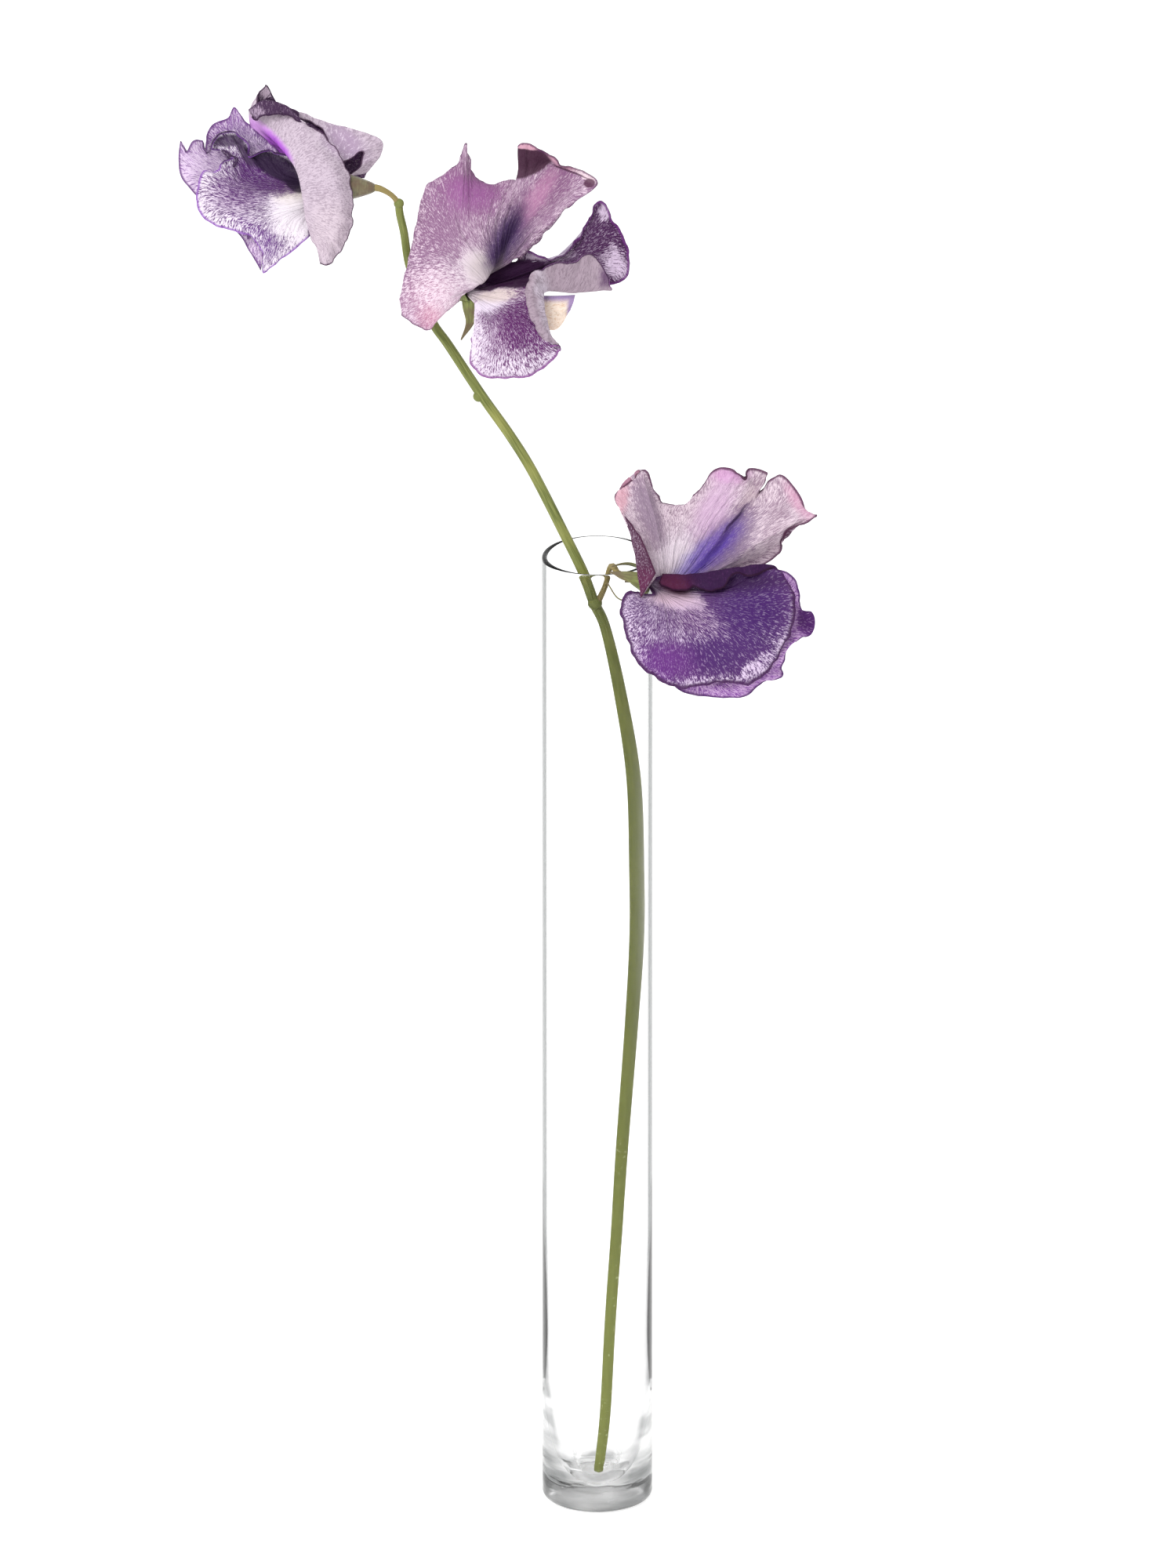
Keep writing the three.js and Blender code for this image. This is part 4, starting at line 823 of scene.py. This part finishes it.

# A mark is an oval: its centre x and y, half length, half width and turn from the x axis in
# degrees, and for some how soft its edge is. Then comes a colour with its strength, or the
# amount of flecks. A margin is its width, colour and strength. A halo is the two distances
# from the margin between which the flecks grow back, and by how much.
# Some grey grounds are painted shade on soft folds, and the sharp marks include painted shade in
# mouths, creases and under rolled margins, beside real sharp marks such as the violet band.
make_petal(
    "lower", "standard", LOWER_STANDARD,
    front=dict(
        ground="#EAD6E2", fleck="#84627F", depth=0.44, contrast=0.78, specks=0.35,
        margin=(0.65, "#5A2E50", 0.9),
        grounds=[(6, 7, 8, 6, 30, "#F3E6F1", 0.8), (22.5, 20, 7, 1.6, 58, "#C9B4BC", 0.9),
                 (31, 8, 9, 3, 20, "#D3BFCB", 0.8)],
        flecked=[(-2.6, 17, 9.5, 2.4, -72, 0.74), (5, 6, 5, 4, 30, 0.24), (16, 9, 9, 4.6, 48, 0.9),
                 (31, 18, 4, 2.4, 60, 0.55)],
        inks=[(-2.6, 17, 10, 3, -72, "#715678", 0.8), (16, 9, 11, 6, 45, "#4C2470", 0.95)],
        flushes=[(-9.8, 20.6, 4.6, 1.8, 75, "#DB9FAE", 0.7),
                 (17.7, 27.2, 4.6, 2.6, 0, "#DE9FD6", 0.7), (14, 18, 9, 3.4, 60, "#DDB4DC", 0.6),
                 (36, 20, 5.5, 2, -55, "#D99BBC", 0.65), (9.6, 5, 8, 2.7, 44, "#8A74D2", 0.75),
                 (15, 8.4, 8, 2.9, 47, "#6A48A8", 0.75)],
        # Painted shade: the violet lines along the blotch end in a dark line of shade in its crease
        sharp_marks_and_painted_shade=[(12.6, 5.6, 9, 0.9, 44, 1.6, "#4C34A4", 0.6),
                (16.6, 10.8, 8, 0.7, 52, 1.6, "#3A1F66", 0.7),
                (19.4, 15.4, 5, 0.4, 50, "#2C1240", 0.9)]),
    back=dict(
        ground="#C3AFC2", fleck="#552F4A", depth=0.72, margin=(0.5, "#4A1F3C", 0.85),
        flecked=[(-4, -1.5, 4.5, 3, 80, 1.05), (-6.5, 9, 5, 3, 80, 0.62)],
        grounds=[(28, 5, 6, 4, 10, "#D8C8D4", 0.9)], inks=[(-4, -1, 4, 3, 80, "#642A4E", 0.8)],
        flushes=[(30.4, 7.6, 2.2, 1.8, 0, "#C9808F", 0.7), (-7, 26, 3, 3, 0, "#C790A6", 0.7)]))
make_petal(
    "lower", "wing_near", LOWER_WING_NEAR, rolls=[(-0.1, 0.15, 2.0, 2.2, 1)],
    front=dict(
        ground="#E8D2F0", fleck="#56286A", depth=0.58, halo=(1.2, 5, 0.1), contrast=0.97,
        specks=0.3, margin=(1.3, "#4A1F56", 0.95),
        grounds=[(4.4, -5, 7, 2.6, -8, "#DDBCCF", 0.95), (11, -10, 8, 4.4, -20, "#CDB2CE", 0.8),
                 (4, -21, 8, 4, 0, "#D9AEE6", 0.8), (-7, -12, 3, 6, 0, "#E6D2EC", 0.8)],
        flecked=[(23, -7, 9, 6.6, 0, 1.0), (24, -1, 10, 3.4, 10, 1.1), (17, -19.5, 10, 4, 5, 0.98),
                 (2, -20.5, 6, 4.5, -20, 0.8), (-6, -13, 3.6, 8, 0, 0.56),
                 (11, -9.4, 6.5, 3, -30, 0.56), (4.6, -5, 4.8, 2, -8, 1.9, -0.1),
                 (24.8, -21.6, 4.4, 1.8, 35, 0.42)],
        inks=[(23, -8, 10, 12, 0, "#420F66", 0.95), (14, -19, 8, 5, 0, "#431264", 0.9),
              (1, -21, 7, 5, 0, "#64287E", 0.9)],
        flushes=[(24, -7, 7, 4.5, 0, "#3C0E60", 0.4)],
        # Painted shade: dark under the rolled upper margin, over the wing's own deep purple, and in
        # the pocket under the standard's base
        sharp_marks_and_painted_shade=[(16, -0.8, 15, 2.6, 4, 1.5, "#2C0E38", 0.8),
                (3.6, -1.8, 4.4, 1.6, -20, "#4A1836", 0.95)]),
    # The back shows only in the rolled upper margin: its dark maroon is the reverse darkened by
    # painted shade
    back=dict(
        ground="#552B5C", fleck="#341540", depth=0.8, margin=(0.5, "#2A0C28", 0.9),
        flushes=[(3, -1, 5, 3, -8, "#561E3C", 0.85)]))
make_petal(
    "lower", "wing_far", LOWER_WING_FAR,
    front=dict(
        ground="#DDB8E4", fleck="#8A50A6", depth=0.46, margin=(0.6, "#54286A", 0.85),
        flecked=[(38.4, -10, 2.6, 4, 0, 1.0)], inks=[(38.4, -10, 3, 5, 0, "#421458", 0.9)]),
    back=dict(ground="#D6B2E0", fleck="#8A52A8", depth=0.42, margin=(0.6, "#451A55", 0.85)))
make_petal(
    "lower", "keel", LOWER_KEEL,
    front=dict(ground="#E6D2B4", fleck="#C9A98A", depth=0.3, margin=(1.2, "#7A5FA8", 0.8)),
    back=dict(ground="#EADAC0", fleck="#CDB394", depth=0.3, margin=(1.2, "#7A5FA8", 0.8)))


# Petals of the middle flower, which faces right. Its standard is folded along its middle and its
# near wing hangs down with its right margin rolled towards the front.
MIDDLE_STANDARD = [
    [(-2.6, 0.6, 1.2), (-2.6, 1.1, 0.8), (-2.6, 1.2, 0), (-2.6, 1, -0.8), (-2.6, 0.6, -1.2)],
    [(-1.4, -0.4, 3.4), (1, 1.6, 4.5), (3.6, 4.6, 4), (5.6, 7, 0.6), (7.6, 6, -0.6)],
    [(-3, -1.4, 4), (-8.4, -2.4, 4), (-8.6, 7.6, 3.5), (-5.4, 15, 3.5), (-0.4, 15.6, 3),
     (5.6, 16.4, 0), (9.4, 16.6, -2), (14.6, 15.6, 0), (8.4, 6.8, -0.6)],
    [(-4, -2, 3.6), (-11.4, -8.2, 2), (-18.6, -3.8, 0.5), (-16.6, 9.8, -2), (-12.8, 24, -2),
     (-4.4, 29, 0), (-1, 25, -1), (7.6, 26.4, -3.5), (10.6, 26.8, -4), (15.6, 30, -4.5),
     (24.6, 27, -1), (21.8, 20.4, 0.6), (10.2, 7.6, -0.6)],
    [(-4.6, -3.4, 3.2), (-9.6, -7.2, 2.2), (-12.8, -10.6, 0.6), (-17.2, -8.2, 0), (-19.4, -5.6, -1),
     (-16.8, 2, -5), (-14.8, 10, -6.5), (-12.4, 18, -6.5), (-13, 25.4, -4.5), (-7.6, 28.6, -2.4),
     (-4.2, 33.4, -1.4), (-2.9, 36.6, -1), (-1.6, 30, -3), (2.4, 26, -5), (8, 27.2, -5.5),
     (10.6, 28, -5), (10.4, 36, -2), (14, 36, -1), (19.2, 33, 0), (21.8, 31, -1), (27.2, 29.4, 0),
     (30.2, 26, 1), (23, 20.6, 0), (16.8, 13.6, -1), (10.8, 7.4, -1.4)],
]
MIDDLE_WING_NEAR = [
    [(-2.6, -0.8, 1.4), (-2.6, -1.3, 1.4), (-2.6, -1.8, 1.4)],
    [(20, 3.2, 1.8), (12.6, 1.4, 3), (12, -7.4, 6.5), (4.4, -10, 6.5), (-0.4, -3, 2.6)],
    [(33, -0.5, 3.6), (25, -1.1, 4), (17.4, -0.9, 5), (16.8, -4.6, 7), (17.6, -13.6, 8.5),
     (11.6, -19, 8.5), (3, -19.4, 8), (-0.4, -12, 6.5), (-0.6, -3.6, 3)],
    [(33.6, 0.6, 4.8), (32, 4.8, 5.6), (28.4, 8.6, 6), (24.6, 6.4, 7), (18.4, 5.8, 8),
     (14.8, 1.6, 9), (14.4, -4, 9.6), (17, -10, 9.4), (20.4, -15.8, 7.4), (18, -19.2, 7.5),
     (13, -22.4, 7), (8, -22.8, 7), (2, -22.6, 6.5), (-1.6, -19.4, 6), (-1.6, -15, 6),
     (-0.4, -9, 5.2), (-0.8, -4.4, 3.2)],
]
MIDDLE_WING_FAR = [
    [(-2.6, -0.8, -1.3), (-2.6, -1.3, -1.3), (-2.6, -1.8, -1.3)],
    [(4, 6.2, -2.8), (14, 5, -3), (20, 7, -4), (19, 4, -4), (8, 0, -2.4)],
    [(8, 6.4, -3.2), (15.6, 7, -3.2), (24, 10, -3.5), (29, 17.4, -3.5), (31.6, 15.8, -2.5),
     (34.6, 10, -3), (34, 4.6, -4), (26, 1.6, -4), (10, 1.4, -3)],
    [(9.4, 6.2, -3.2), (12.4, 9.4, -3.2), (16, 8, -2.8), (20.4, 7.6, -2), (25, 12, -2.5),
     (28, 17, -2.5), (30.4, 21.8, -2), (32.4, 21.2, -1), (33.8, 17.8, -0.5), (36.4, 14, -1),
     (38, 10, -1.5), (38.4, 6, -2), (37.4, 2.4, -2.5), (34, 1, -3.4), (28, 0, -3.8), (20, 0, -4),
     (11, 0.6, -3.4)],
]
MIDDLE_KEEL = [
    [(-2.4, -0.9, 0), (-2.4, -1.4, 0), (-2.4, -1.9, 0)],
    [(8, -1.4, 1.4), (9, -4, 1.8), (10, -7, 0.6), (9, -4, -1.2), (8, -1.4, -1)],
    [(17.4, -2, 2.2), (18.6, -6, 2.4), (19.2, -10.6, 1), (19, -6, -0.6), (17.4, -2, -0.6)],
    [(24.6, -1.8, 1.6), (24.2, -3.4, 1.5), (23.4, -5.6, 0.8), (24.2, -3.4, 0.2), (24.6, -1.8, 0)],
]

make_petal(
    "middle", "standard", MIDDLE_STANDARD,
    front=dict(
        ground="#E6CEE0", fleck="#7A4676", depth=0.52, contrast=0.85, specks=0.4,
        margin=(0.4, "#5A3358", 0.75),
        grounds=[(-10, -3, 6, 8, 40, "#F6E2EE", 0.85), (-3, 4, 6, 7, 30, "#EBDCE6", 0.8),
                 (18, 25, 12, 4.4, 55, "#BFA3B6", 0.9), (0, 28, 9, 6, 0, "#BC9CB6", 0.85),
                 (2, 5.4, 4.6, 4.2, 0, "#CBBDC0", 0.9),
                 (25.5, 30.4, 5.5, 1.3, -38, 0.5, "#F0D8E2", 0.9)],
        flecked=[(1.5, 5, 4.6, 4.2, 0, -0.1), (-2, 24, 6.5, 5, 0, 0.85), (-9, 16, 5, 8, 0, 0.68),
                 (-9, -1, 6, 7, 40, 0.42), (20, 27, 8, 3.4, 50, 0.62),
                 (7.4, 12.4, 8.6, 4, 60, 0.85), (25.5, 30.4, 5.5, 1.3, -38, 0.5, 0.1)],
        inks=[(-11, -4, 7, 7, 40, "#B07A9C", 0.85), (-2, 24, 8, 6, 0, "#8A4486", 0.85),
              (2, 30, 6, 4, 0, "#74506E", 0.8), (7.4, 12.4, 9, 5, 60, "#3A1850", 0.9)],
        flushes=[(-1.6, 24.2, 5, 3.8, -10, "#A262A0", 0.5), (15, 23, 8, 2.2, 56, "#C48AB0", 0.6),
                 (7, 12.4, 8.4, 2.6, 60, "#4A2C66", 0.8), (-12, -7.5, 3, 3, 0, "#C9708F", 0.35)],
        sharp_marks_and_painted_shade=[(7.6, 13, 7.4, 1.5, 62, 1.5, "#241036", 0.8),
                (4.6, 3.6, 4.6, 0.7, 70, 1.6, "#8C7C84", 0.5),
                (11.8, 35, 10, 6.5, 27, 0.12, "#523347", 0.95),
                (13, 34, 6, 4, 10, 1, "#3E1C33", 0.6), (14, 36.6, 6, 1.5, -3, 0.3, "#DDAABE", 0.95),
                (21, 34.6, 6, 3, -42, 0.3, "#D9A8BC", 0.95),
                (23.6, 29.6, 5, 0.3, -22, 0.6, "#4A2440", 0.8),
                (28.4, 26.6, 1.5, 1.2, 0, 0.4, "#5A2F4C", 0.9)]),
    back=dict(
        ground="#A88CA4", fleck="#44223A", depth=0.84, margin=(0.4, "#3A1730", 0.85),
        flecked=[(16, 31.6, 3, 2, -30, 0.62)],
        grounds=[(25, 31, 6, 3, -30, "#EBDCE4", 0.95), (0, 0, 9, 14, 0, "#DBCAD6", 0.9)],
        flushes=[(29.2, 28.2, 4.6, 1.6, -48, "#DDA0B4", 0.6)]))
make_petal(
    "middle", "wing_near", MIDDLE_WING_NEAR, rolls=[(0.29, 0.49, 1.1, 3.5, 1)],
    front=dict(
        ground="#F0E2F4", fleck="#662C6A", depth=0.56, halo=(1.0, 4, 0.1), specks=0.5,
        margin=(0.7, "#8A4A92", 0.85),
        grounds=[(5, -1.8, 7, 1.8, 4, "#E2D0CC", 0.9), (10, -10, 7, 5, 40, "#D8BCDA", 0.8)],
        flecked=[(3, -3.4, 6, 2.4, 10, 0.1), (11, -9, 5, 6, 30, 0.72), (-1, -13, 3, 8, 10, 0.36),
                 (6, -20, 9, 3, 0, 0.46)],
        inks=[(11, -10, 6, 7, 30, "#5A2260", 0.85)],
        # Painted shade: the dark mouth under the standard, where the wing's upper part lies in
        # shadow
        sharp_marks_and_painted_shade=[(9.4, 3, 9, 3.2, 2, 0.3, "#2C0A2E", 0.97),
                (3.4, 0.6, 4, 1.3, 15, 0.5, "#2C0A2E", 0.95)]),
    back=dict(
        ground="#AD9AA8", fleck="#83717F", depth=0.4, contrast=0.7, margin=(0.35, "#3A1A40", 0.9),
        grounds=[(17, -3.4, 8, 1.8, -78, "#D4C8D6", 0.9)],
        flushes=[(32.4, 2.6, 1.5, 2.4, 0, "#5E3A66", 0.8)]))
make_petal(
    "middle", "wing_far", MIDDLE_WING_FAR,
    front=dict(
        ground="#DCC8E0", fleck="#4A2450", depth=0.78, margin=(0.6, "#6B3078", 0.85), specks=0.5,
        grounds=[(16, 8.4, 7, 2.2, 5, "#A493A6", 0.95)],
        flecked=[(35, 6, 4.6, 3.2, -60, 0.34), (32.6, 19.6, 1.8, 2.8, -20, 0.3),
                 (17, 8.4, 7, 1.8, 5, 0.3)],
        # Painted shade: the dark mouth carries on over the far wing's neck
        sharp_marks_and_painted_shade=[(8.6, 4, 9.4, 3.2, 8, 0.3, "#2C0A30", 0.97)]),
    back=dict(
        ground="#CDBFD2", fleck="#937A9C", depth=0.3, contrast=0.6, margin=(0.4, "#4A2350", 0.85)))
cream = dict(ground="#FBEBDC", fleck="#D8B494", depth=0.32, contrast=0.7,
             margin=(1.8, "#9A7EBC", 0.85))
make_petal("middle", "keel", MIDDLE_KEEL, front=cream, back=cream)


# Petals of the top flower, which faces left. The near half of its standard is turned back over
# the calyx, and its upper margin is rolled so that the dark reverse shows.
TOP_STANDARD = [
    [(1.8, 0, -1.2), (1.8, 0.7, -0.8), (1.8, 1, 0), (1.8, 0.8, 0.9), (1.8, 0.3, 1.5)],
    [(-3, 2, -3.4), (-8, 5, -2), (-7, 4.4, 1.5), (-6, -1, 6.2), (-5, -5, 6.4)],
    [(-1, 2, -6), (-8, 11, -7), (-21, 11, -5), (-21, 14, 0), (-16.6, 10.4, 4), (-12, 4, 6.4),
     (-10.2, -3.2, 7.6), (-9.4, -9, 7.6), (-8.2, -12.6, 6.6)],
    [(5, 2, -8), (9.2, 11.4, -8), (-6.4, 16.6, -8), (-18.6, 20.4, -4), (-24, 19, 1),
     (-19.6, 21.4, 2.5), (-13.4, 18.6, 3.5), (-8.6, 10.6, 6.5), (-4, 4.6, 8), (-1.6, -3.6, 8.5),
     (-2, -11, 8), (-4, -15, 7.5), (-6.8, -16, 7)],
    [(0, 2, -7), (3.8, 4.8, -5), (4.8, 8.6, -4.5), (-1, 6.4, -4), (-6, 14.8, -6), (-12, 17.6, -7),
     (-17, 21, -4), (-20, 25.4, 0), (-23, 18, 3.6), (-22, 16.6, 5.6), (-19.6, 17.8, 6),
     (-16, 18, 5.6), (-12, 16.8, 5), (-8.6, 14.8, 4), (-5.6, 13, 4), (-2.4, 9.6, 4), (0, 5.6, 4),
     (1.6, 1, 4), (2.2, -4.4, 4), (2.1, -9, 4), (1, -13.4, 4), (-1, -16.6, 4.5), (-2.6, -19.2, 5),
     (-4.4, -20.2, 5.6), (-6, -19.8, 6)],
]
TOP_WING_NEAR = [
    [(1.4, -1.7, 1.25), (1.4, -1.3, 1.25), (1.4, -0.8, 1.25)],
    [(-7.6, -7.6, 3), (-18.6, -8.4, 8), (-24, -2, 7.5), (-20.6, 1.2, 4.2), (-9, 2, 2.4)],
    [(-8.8, -11, 4.2), (-16, -16.4, 7), (-20, -14, 8), (-26.6, -8.6, 8.5), (-33, -4.6, 8),
     (-32.8, 1.4, 7.5), (-28.4, 2.4, 7), (-27.4, 5.4, 4.5), (-24, 6.4, 3), (-18.6, 5.6, 2.2),
     (-11, 3.6, 3)],
    [(-8.6, -12.8, 4.2), (-12.4, -16.2, 5.5), (-17, -19.6, 6), (-20.4, -22.2, 6), (-20.4, -17.4, 7),
     (-23.2, -13.2, 7), (-28, -11.5, 7), (-33.6, -9.6, 6.5), (-36.8, -6, 6.5), (-37, -1.4, 6.5),
     (-35.6, 3.2, 6), (-32.4, 3.4, 6), (-29.8, 4.6, 5.5), (-27.2, 6.2, 5), (-32.2, 10, 3),
     (-29.6, 12.6, 2.5), (-25.8, 10, 2), (-24, 6.2, 1.8), (-19.6, 7.6, 1.6), (-15.2, 6.4, 1.8),
     (-12, 4.6, 2.2)],
]
TOP_WING_FAR = [
    [(1.4, -1.7, -1.25), (1.4, -1.3, -1.25), (1.4, -0.8, -1.25)],
    [(-12, -7, -2), (-22, -2, -1.4), (-22, 3, -1.8), (-17, 4.4, -2.6), (-9, -0.6, -2.6)],
    [(-19, -14, 2), (-25, -9, 2), (-35, 0, 1), (-37, 4, 0.6), (-36.6, 6.6, 0.4), (-34, 8, -0.3),
     (-31, 10, -2), (-27.6, 13, -2.2), (-24, 12.4, -2.2), (-18.6, 7.6, -2.6), (-10.6, -0.2, -2.2)],
    [(-21, -21.4, 2.6), (-24, -16.4, 2.6), (-26.8, -12, 2.2), (-34, -6, 1.6), (-39, -0.6, 1.4),
     (-41.2, 2.4, 1), (-41.8, 7, 0.5), (-41.2, 11.2, 0), (-40, 8.2, 1.4), (-38.2, 11.2, 1.4),
     (-36, 11, 0.8), (-34.8, 8, 2), (-34.8, 12, -1), (-33.2, 15.4, -2), (-29.2, 17.2, -2.5),
     (-27.8, 19.8, -2), (-25.4, 16.8, -1.8), (-22.2, 13.8, -1.4), (-19, 11, -2), (-16, 7.8, -2.5),
     (-11, -0.2, -2.2)],
]
TOP_KEEL = [
    [(1.4, -1, 0), (1.4, -1.5, 0), (1.4, -2, 0)],
    [(-8, -3, 1.2), (-8.4, -5, 1.1), (-8.8, -6.6, 0.3), (-8.4, -5, -0.5), (-8, -3, -0.6)],
    [(-16, -2, 3.4), (-15.6, -5, 3.2), (-15, -7.6, 2.2), (-15.6, -5, 1.2), (-16, -2, 1)],
    [(-20, -2.6, 3.8), (-19.6, -4, 3.6), (-19.2, -5.2, 3), (-19.6, -4, 2.2), (-20, -2.6, 2)],
]

make_petal(
    "top", "standard", TOP_STANDARD,
    front=dict(
        ground="#D4C3D2", fleck="#846E84", depth=0.42, contrast=0.55, specks=0.25,
        margin=(0.4, "#4A2A48", 0.9),
        grounds=[(-4, -12, 8, 5, 80, "#DECDD8", 0.9), (0, 10.5, 6, 3.4, -40, "#F0DEF2", 0.9)],
        flecked=[(0, 11, 6, 3.4, -40, 0.66)], inks=[(0, 10.5, 6, 3.4, -40, "#84508A", 0.9)],
        sharp_marks_and_painted_shade=[(-19.4, 11.6, 8, 2.4, -44, 0.6, "#DCA0EC", 0.95),
                (-16.8, 9.8, 4.8, 1.4, -50, 0.9, "#A94CCE", 0.85)]),
    back=dict(
        ground="#B49CB6", fleck="#4A3050", depth=0.74, margin=(0.4, "#3A1F40", 0.9),
        grounds=[(4, 16, 10, 7, -40, "#E8E2E4", 0.95), (-20, 24.8, 2.8, 2.6, 0, "#E9D3E6", 0.95)],
        flecked=[(5, 16, 9, 6, -40, 0.16), (-20, 25, 2.4, 2.4, 0, 0.22),
                 (-21.8, 18.4, 1.8, 1.4, 0, 0.4), (-0.6, 11.6, 6.4, 2.2, -36, 0.8, 0.64)],
        inks=[(-0.6, 11.6, 6.6, 2.6, -36, "#7E4A86", 0.9)]))
make_petal(
    "top", "wing_near", TOP_WING_NEAR, rolls=[(0.58, 1.1, 1.0, 2.6, 1)],
    front=dict(
        ground="#F6EAF8", fleck="#5A2E6E", depth=0.5, halo=(1.0, 4.5, 0.1), specks=0.45,
        margin=(0.6, "#9058B4", 0.85),
        grounds=[(-12, -2, 6, 3.4, -10, "#F5E9E0", 0.9), (-11, -9, 6, 5, 0, "#FDF4FC", 0.95),
                 (-27, -2, 7, 5, 0, "#DEC6E2", 0.8)],
        flecked=[(-12, -6, 5.5, 7, 0, 0.04), (-27, -1, 7, 4, 0, 0.62), (-22, -13, 6, 2.6, -35, 0.6),
                 (-33, -6, 4, 6, 0, 0.48), (-19, 2.4, 8, 3.4, -25, 0.95)],
        inks=[(-22, -14, 8, 4, -30, "#6E3F8A", 0.8)],
        # Painted shade: the dark mouth, and the dark hood where the upper margin rolls over
        sharp_marks_and_painted_shade=[(-16.4, 4.6, 8.8, 3, -26, 0.4, "#2F1E3A", 0.96),
                (-12.4, 0.2, 3, 1.6, -40, 0.4, "#2F1E3A", 0.9),
                (-29, 11.4, 4.4, 1.5, 8, 0.5, "#4C3857", 0.9),
                (-25, 8.2, 4, 1.3, -62, 0.5, "#4C3857", 0.9)]),
    back=dict(
        ground="#C9BCCB", fleck="#483052", depth=0.5, margin=(0.35, "#35193F", 0.9),
        flecked=[(-20, 4, 14, 8, 0, 1.1), (-22, -20, 5, 6, 0, 0.1)]))
make_petal(
    "top", "wing_far", TOP_WING_FAR,
    front=dict(
        ground="#EAD6EE", fleck="#8A5CA0", depth=0.44, margin=(0.5, "#6A3C80", 0.85),
        flecked=[(-28, 14, 5, 6, 0, 0.56), (-38, 4, 5, 6, 0, 0.36)],
        inks=[(-26, 10, 6, 5, 0, "#7C6290", 0.9)]),
    back=dict(ground="#DCC8E2", fleck="#8A66A0", depth=0.4, margin=(0.4, "#4A2558", 0.85)))
make_petal(
    "top", "keel", TOP_KEEL,
    front=dict(ground="#EFE2D2", fleck="#CDB394", depth=0.25, margin=(1.2, "#8A6CB4", 0.8)),
    back=dict(ground="#EADAC0", fleck="#CDB394", depth=0.3, margin=(1.2, "#8A6CB4", 0.8)))


# Studio: a plain white floor, even white surroundings and one large soft light from the front,
# above and to the left, as in a photograph of a flower on white.
CAMERA_TARGET = Vector((-2.4, -21.9, 205.9)) * MM
CAMERA_DISTANCE = 8.889
FRAME_WIDTH = 0.3
SENSOR_WIDTH = 36
FAR_CLIP = 100
FLOOR_SIZE, FLOOR_DROP = 60, 0.2 * MM
FLOOR_GLOW, SURROUNDINGS = 0.7, 0.9
LAMP_PLACE, LAMP_AIM = Vector((-0.9, -1.4, 1.7)), Vector((0, 0, 0.3))
LAMP_SIZE, LAMP_POWER = 1.2, 30


def make_floor():
    material, tree = new_material("matt_white_paper")
    paper = add(tree, "ShaderNodeBsdfPrincipled", Base_Color="#C4C4C4", Roughness=0.9,
                Specular_IOR_Level=0, Emission_Color="#FFFFFF", Emission_Strength=FLOOR_GLOW)
    add(tree, "ShaderNodeOutputMaterial", Surface=paper)
    mesh = bpy.data.meshes.new("floor")
    half = FLOOR_SIZE / 2
    mesh.from_pydata([(-half, -half, 0), (half, -half, 0), (half, half, 0), (-half, half, 0)], [],
                     [(0, 1, 2, 3)])
    mesh.materials.append(material)
    floor = placed("floor", mesh)
    floor.location.z = -FLOOR_DROP


def make_light():
    world = bpy.data.worlds.new("white_surroundings")
    bpy.context.scene.world = world
    world.use_nodes = True
    sky = world.node_tree.nodes["Background"].inputs
    sky["Color"].default_value = linear("#FFFFFF")
    sky["Strength"].default_value = SURROUNDINGS
    lamp = bpy.data.lights.new("soft_window", "AREA")
    lamp.shape = "DISK"
    lamp.size = LAMP_SIZE
    lamp.energy = LAMP_POWER
    soft_window = placed("soft_window", lamp)
    soft_window.location = LAMP_PLACE
    soft_window.rotation_euler = (LAMP_AIM - LAMP_PLACE).to_track_quat("-Z", "Y").to_euler()


def make_camera():
    lens = bpy.data.cameras.new("camera")
    lens.sensor_width = SENSOR_WIDTH
    lens.lens = SENSOR_WIDTH * CAMERA_DISTANCE / FRAME_WIDTH
    lens.sensor_fit = "HORIZONTAL"
    lens.clip_end = FAR_CLIP
    camera = placed("camera", lens)
    towards = Vector((0, -math.cos(VIEW_DROP), math.sin(VIEW_DROP)))
    camera.location = CAMERA_TARGET + towards * CAMERA_DISTANCE
    camera.rotation_euler = (-towards).to_track_quat("-Z", "Y").to_euler()
    bpy.context.scene.camera = camera
    bpy.context.scene.view_settings.view_transform = "Standard"


make_floor()
make_light()
make_camera()
